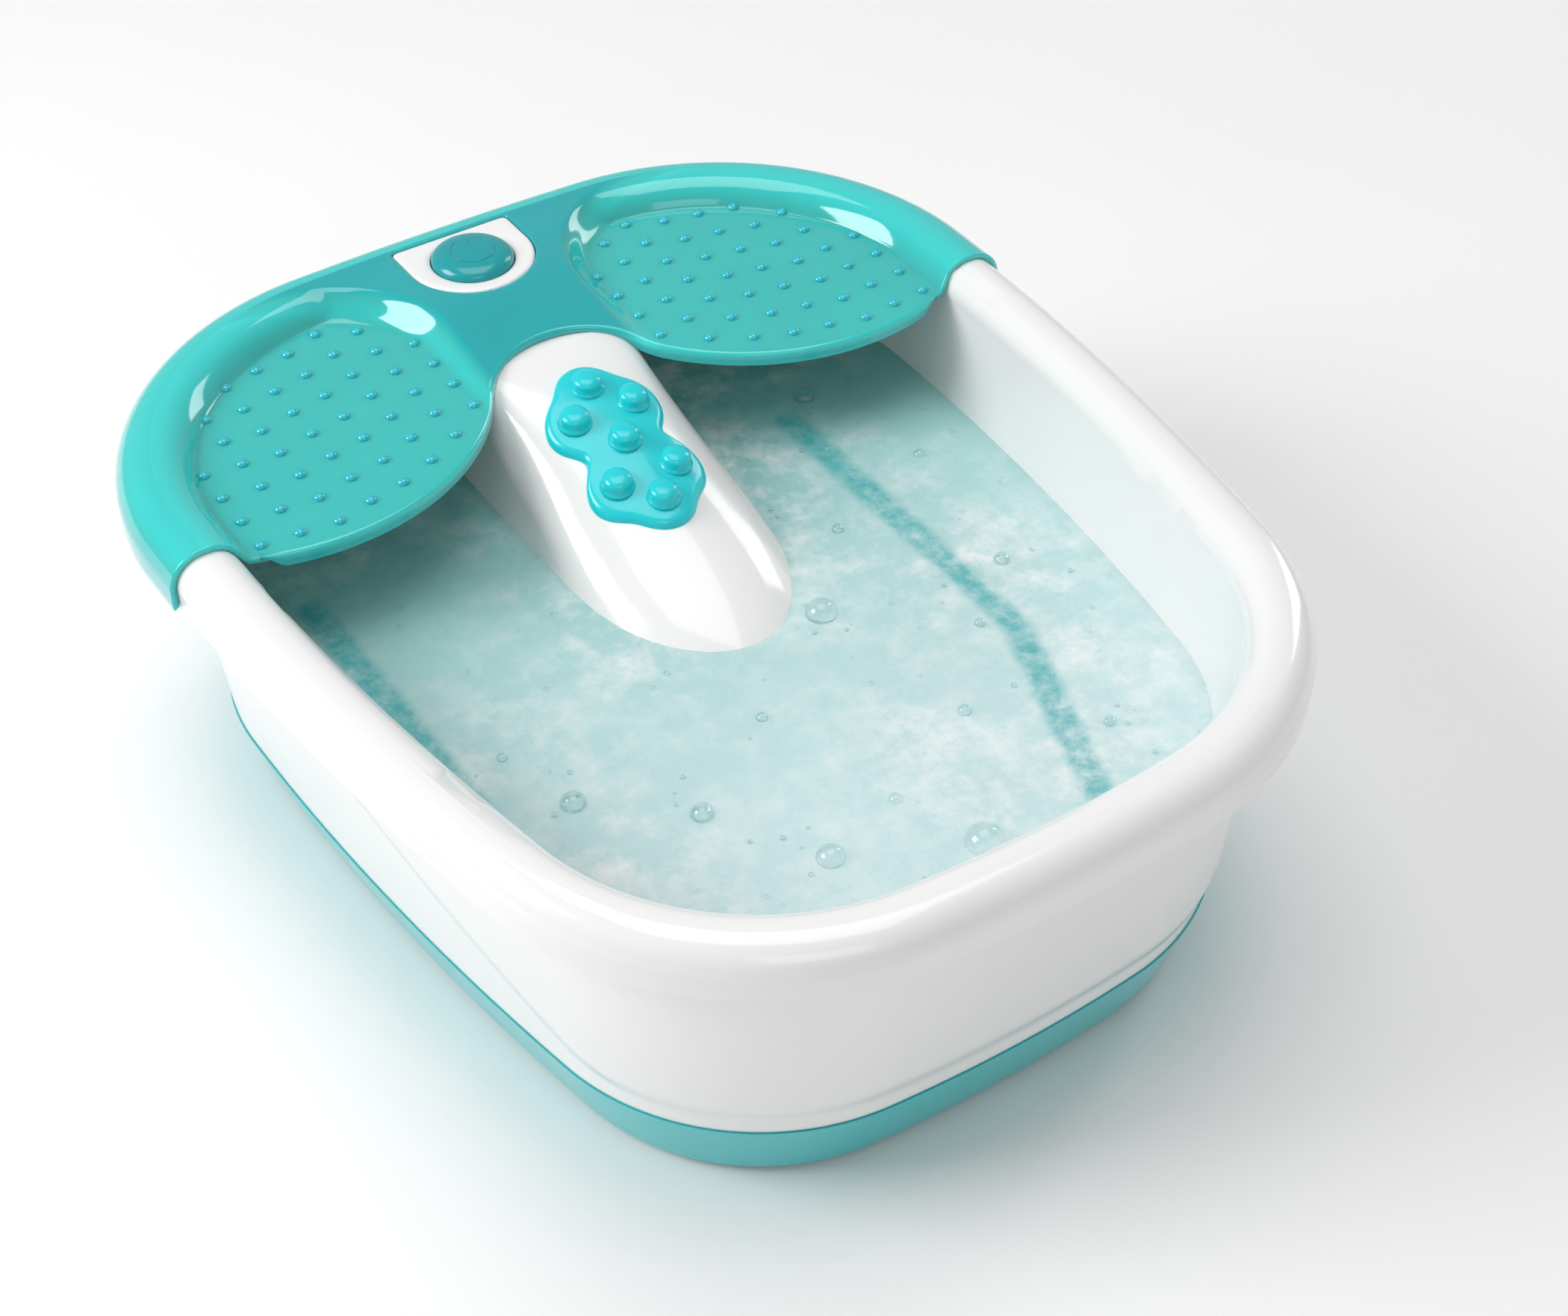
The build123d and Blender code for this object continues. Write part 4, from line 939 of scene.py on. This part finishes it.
def pad_nub(x, y, tub_tree):
    """A stub with a domed top, square to the console under it, flared where it meets the sheet."""
    here = drop_height(tub_tree, x, y)
    span = 2.0
    slope_x = (drop_height(tub_tree, x + span, y) - drop_height(tub_tree, x - span, y)) / (2 * span)
    slope_y = (drop_height(tub_tree, x, y + span) - drop_height(tub_tree, x, y - span)) / (2 * span)
    lean = Vector((-slope_x, -slope_y, 1.0)).normalized()
    lean = (lean + Vector((0, 0, 1.2))).normalized()
    turn = Vector((0, 0, 1)).rotation_difference(lean)
    foot = PAD_NUB_RADIUS + 0.9
    neck = PAD_NUB_RADIUS - 0.15
    profile = [(0.0, -1.0), (foot, -1.0), (foot, 0.0), (PAD_NUB_RADIUS + 0.25, 0.45)]
    profile += [(PAD_NUB_RADIUS, 1.0), (neck, PAD_NUB_RISE - PAD_NUB_DOME)]
    for step in range(1, 9):
        angle = math.pi / 2 * step / 9
        reach = neck * math.cos(angle) ** 0.75
        profile.append((reach, PAD_NUB_RISE - PAD_NUB_DOME + PAD_NUB_DOME * math.sin(angle)))
    profile.append((0.0, PAD_NUB_RISE))
    points, polygons = lathe(profile, 40)
    placed = []
    for point in points:
        spot = turn @ Vector(point)
        placed.append((spot.x + x, spot.y + y, spot.z + here + PAD_THICK - 0.1))
    return placed, polygons


# ---- water, which is only staging: it isn't part of the object ---------------------------------
def apparent_shift():
    """How far something on the floor seems moved at the water's surface, seen from the camera's side."""
    from_vertical = math.radians(90 - CAMERA_ELEVATION)
    below = math.asin(math.sin(from_vertical) / 1.33)
    reach = (WATER_Z - STRIP_TOP) * math.tan(below)
    azimuth = math.radians(CAMERA_AZIMUTH)
    return reach * math.sin(azimuth), -reach * math.cos(azimuth)


def strip_nearness(x, y):
    """1 over a bubble strip as it shows through the water, falling to 0 beside it."""
    shift_x, shift_y = apparent_shift()
    best = 1e9
    for side in (-1, 1):
        line = [(side * STRIP_X, STRIP_BACK_Y), (side * STRIP_X, STRIP_BEND_Y)]
        line.append((side * STRIP_END[0], STRIP_END[1]))
        for start, end in zip(line, line[1:]):
            ax, ay = start[0] + shift_x, start[1] + shift_y
            bx, by = end[0] + shift_x, end[1] + shift_y
            span = (bx - ax) ** 2 + (by - ay) ** 2
            share = min(1.0, max(0.0, ((x - ax) * (bx - ax) + (y - ay) * (by - ay)) / span))
            best = min(best, math.hypot(x - ax - share * (bx - ax), y - ay - share * (by - ay)))
    return float(1.0 - smoothstep(best, STRIP_HALF * 0.55, STRIP_HALF * 1.6))


def make_water_material():
    """Milky water with foam, and the bubble strips showing through it."""
    material, tree, shader = new_material("bubbling_water")
    broad = object_noise(tree, 9.0, 6.0, 0.6)
    fine = object_noise(tree, 70.0, 8.0, 0.7)
    where = tree.nodes.new("ShaderNodeTexCoord")
    place = tree.nodes.new("ShaderNodeSeparateXYZ")
    tree.links.new(where.outputs["Object"], place.inputs["Vector"])
    # The water's colour runs darker towards the back.
    back_to_front = tree.nodes.new("ShaderNodeMapRange")
    back_to_front.inputs["From Min"].default_value = 0.10
    back_to_front.inputs["From Max"].default_value = -0.12
    tree.links.new(place.outputs["Y"], back_to_front.inputs["Value"])
    back_to_front_colours = [(0.0, (0.26, 0.56, 0.54)), (0.55, (0.46, 0.68, 0.68)), (1.0, (0.56, 0.74, 0.75))]
    water = ramp(tree, back_to_front.outputs["Result"], back_to_front_colours)
    patch = ramp(tree, broad.outputs["Fac"], [(0.36, grey(0.0)), (0.62, grey(1.0))])
    speck = ramp(tree, fine.outputs["Fac"], [(0.42, grey(0.0)), (0.66, grey(1.0))])
    foam = tree.nodes.new("ShaderNodeMath")
    foam.operation = "MULTIPLY"
    tree.links.new(patch.outputs["Color"], foam.inputs[0])
    tree.links.new(speck.outputs["Color"], foam.inputs[1])
    white = tree.nodes.new("ShaderNodeRGB")
    white.outputs[0].default_value = (0.82, 0.87, 0.87, 1)
    milky = mix(tree, water.outputs["Color"], white.outputs[0], foam.outputs[0])
    strip = tree.nodes.new("ShaderNodeAttribute")
    strip.attribute_name = "strip"
    broken = tree.nodes.new("ShaderNodeMath")
    broken.operation = "MULTIPLY"
    gaps = object_noise(tree, 130.0, 4.0, 0.7)
    holes = ramp(tree, gaps.outputs["Fac"], [(0.34, grey(0.25)), (0.6, grey(0.75))])
    tree.links.new(strip.outputs["Fac"], broken.inputs[0])
    tree.links.new(holes.outputs["Color"], broken.inputs[1])
    streak = tree.nodes.new("ShaderNodeRGB")
    streak.outputs[0].default_value = (0.02, 0.40, 0.42, 1)
    colour = mix(tree, milky, streak.outputs[0], broken.outputs[0])
    tree.links.new(colour, shader.inputs["Base Color"])
    shader.inputs["Roughness"].default_value = 0.12
    shader.inputs["IOR"].default_value = 1.33
    add_bump(tree, shader, 110.0, 0.35, 0.002, 5.0)
    return material


def make_bubble_material():
    """Clear film that turns glossy at its rim."""
    material = bpy.data.materials.new("bubble_film")
    material.use_nodes = True
    tree = material.node_tree
    tree.nodes.clear()
    output = tree.nodes.new("ShaderNodeOutputMaterial")
    clear = tree.nodes.new("ShaderNodeBsdfTransparent")
    clear.inputs["Color"].default_value = (0.93, 0.98, 0.98, 1)
    shiny = tree.nodes.new("ShaderNodeBsdfGlossy")
    shiny.inputs["Roughness"].default_value = 0.03
    facing = tree.nodes.new("ShaderNodeLayerWeight")
    facing.inputs["Blend"].default_value = 0.3
    share = ramp(tree, facing.outputs["Facing"], [(0.0, grey(0.05)), (0.75, grey(0.22)), (1.0, grey(0.9))])
    both = tree.nodes.new("ShaderNodeMixShader")
    tree.links.new(share.outputs["Color"], both.inputs["Fac"])
    tree.links.new(clear.outputs["BSDF"], both.inputs[1])
    tree.links.new(shiny.outputs["BSDF"], both.inputs[2])
    tree.links.new(both.outputs["Shader"], output.inputs["Surface"])
    return material


BIG_BUBBLES = [
    (96.0, 86.0, 4.5), (28.0, -26.0, 6.0), (-95.0, -60.0, 4.6), (-62.0, -88.0, 4.2), (-38.0, -128.0, 5.0),
    (8.0, -150.0, 7.0), (-5.0, -118.0, 2.6), (40.0, -96.0, 2.6), (72.0, -62.0, 2.2), (100.0, -38.0, 3.2),
    (-104.0, -28.0, 2.0), (60.0, 10.0, 2.4), (112.0, 30.0, 2.6), (78.0, -128.0, 2.4), (-20.0, -60.0, 2.2),
]


def make_water(tub_tree):
    """The staged water surface and the bubbles on it."""
    centre = (0.0, -10.0)
    edge = outline(WATER_INSET, 2.0)
    shares = np.linspace(1.0, 0.0, 110)[:-1]
    verts = []
    for share in shares:
        for x, y in edge:
            px = centre[0] + share * (x - centre[0])
            py = centre[1] + share * (y - centre[1])
            swell = 0.35 * math.sin(px / 17.0 + 1.3 * math.sin(py / 23.0))
            swell += 0.3 * math.sin(py / 13.0 + px / 31.0)
            verts.append((px, py, WATER_Z + swell * smoothstep(1.0 - share, 0.0, 0.1)))
    faces = grid_faces(len(shares), len(edge), wrap=True)
    verts.append((centre[0], centre[1], WATER_Z))
    low = (len(shares) - 1) * len(edge)
    faces += [(len(verts) - 1, low + (step + 1) % len(edge), low + step) for step in range(len(edge))]
    water = add_piece("water", verts, faces, make_water_material(), None, None)
    attribute = water.data.attributes.new("strip", "FLOAT", "POINT")
    attribute.data.foreach_set("value", [strip_nearness(x, y) for x, y, _ in verts])
    dice = random.Random(7)
    places = list(BIG_BUBBLES)
    while len(places) < 140:
        x = dice.uniform(-135.0, 135.0)
        y = dice.uniform(-170.0, 90.0)
        places.append((x, y, dice.uniform(0.5, 1.3)))
    profile = [(0.0, -0.15)]
    for step in range(10):
        turn = math.pi / 2 * step / 10
        profile.append((math.cos(turn), 0.9 * math.sin(turn)))
    profile.append((0.0, 0.9))
    shapes = []
    for x, y, radius in places:
        hump = drop_height(tub_tree, x, y)
        if hump is None or hump > WATER_Z - 4.0:
            continue
        points, polygons = lathe(profile, 28)
        grown = [(a * radius, b * radius, c * radius) for a, b, c in points]
        shapes.append(moved((grown, polygons), (x, y, WATER_Z)))
    points, polygons = joined(shapes)
    bubbles = add_piece("bubbles", points, polygons, make_bubble_material(), None, None)


# ---- stage -------------------------------------------------------------------------------------
def make_camera():
    """The photograph's camera, as it was fitted."""
    data = bpy.data.cameras.new("camera")
    data.lens = CAMERA_LENS
    data.sensor_width = 36.0
    camera = bpy.data.objects.new("camera", data)
    bpy.context.scene.collection.objects.link(camera)
    azimuth = math.radians(CAMERA_AZIMUTH)
    elevation = math.radians(CAMERA_ELEVATION)
    level = math.cos(elevation)
    back = Vector((math.sin(azimuth) * level, -math.cos(azimuth) * level, math.sin(elevation)))
    camera.location = CAMERA_TARGET + back * CAMERA_DISTANCE
    camera.rotation_euler = back.to_track_quat("Z", "Y").to_euler()
    bpy.context.scene.camera = camera


def area_light(name, place, aim, size, power):
    """A soft white rectangular light aimed at a point."""
    data = bpy.data.lights.new(name, "AREA")
    data.shape = "RECTANGLE"
    data.size, data.size_y = size
    data.energy = power
    light = bpy.data.objects.new(name, data)
    bpy.context.scene.collection.objects.link(light)
    light.location = place
    light.rotation_euler = (Vector(place) - Vector(aim)).to_track_quat("Z", "Y").to_euler()


def make_lights():
    """Soft studio light from four sides and an even pale surround."""
    area_light("key", (-1.5, 0.7, 1.25), (0, 0, 0.1), (1.0, 1.0), 22)
    area_light("top", (0.1, 0.2, 1.8), (0, 0, 0.1), (1.2, 1.2), 9)
    area_light("window", (1.8, 0.5, 0.9), (0, 0, 0.1), (0.4, 0.9), 4)
    area_light("fill", (-0.5, -1.6, 1.3), (0, 0.1, 0.1), (1.0, 0.8), 3)
    world = bpy.data.worlds.new("studio")
    world.use_nodes = True
    world.node_tree.nodes["Background"].inputs["Color"].default_value = (1, 1, 1, 1)
    world.node_tree.nodes["Background"].inputs["Strength"].default_value = 0.42
    bpy.context.scene.world = world
    bpy.context.scene.view_settings.view_transform = "Standard"


def make_floor():
    """Plain pale floor."""
    half = 6.0 / MM
    corners = [(-half, -half, 0), (half, -half, 0), (half, half, 0), (-half, half, 0)]
    material, tree, shader = new_material("studio_floor")
    tint = ramp(tree, object_noise(tree, 3.0).outputs["Fac"], [(0.3, grey(0.95)), (0.7, grey(0.97))])
    tree.links.new(tint.outputs["Color"], shader.inputs["Base Color"])
    shader.inputs["Roughness"].default_value = 0.7
    floor = add_piece("floor", corners, [(0, 1, 2, 3)], material, None, None, smooth=False)


make_camera()
make_lights()
make_floor()
MATERIALS = make_materials()
dress_cad_nodes(MATERIALS)
TUB_SURFACE = surface_tree("tub")
GUARD = make_guard(MATERIALS, TUB_SURFACE)
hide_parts("splash_guard")
make_guard_nubs(MATERIALS)
make_housing(MATERIALS)
make_panel(MATERIALS)
make_button(MATERIALS)
make_pad(MATERIALS, TUB_SURFACE)
make_water(TUB_SURFACE)
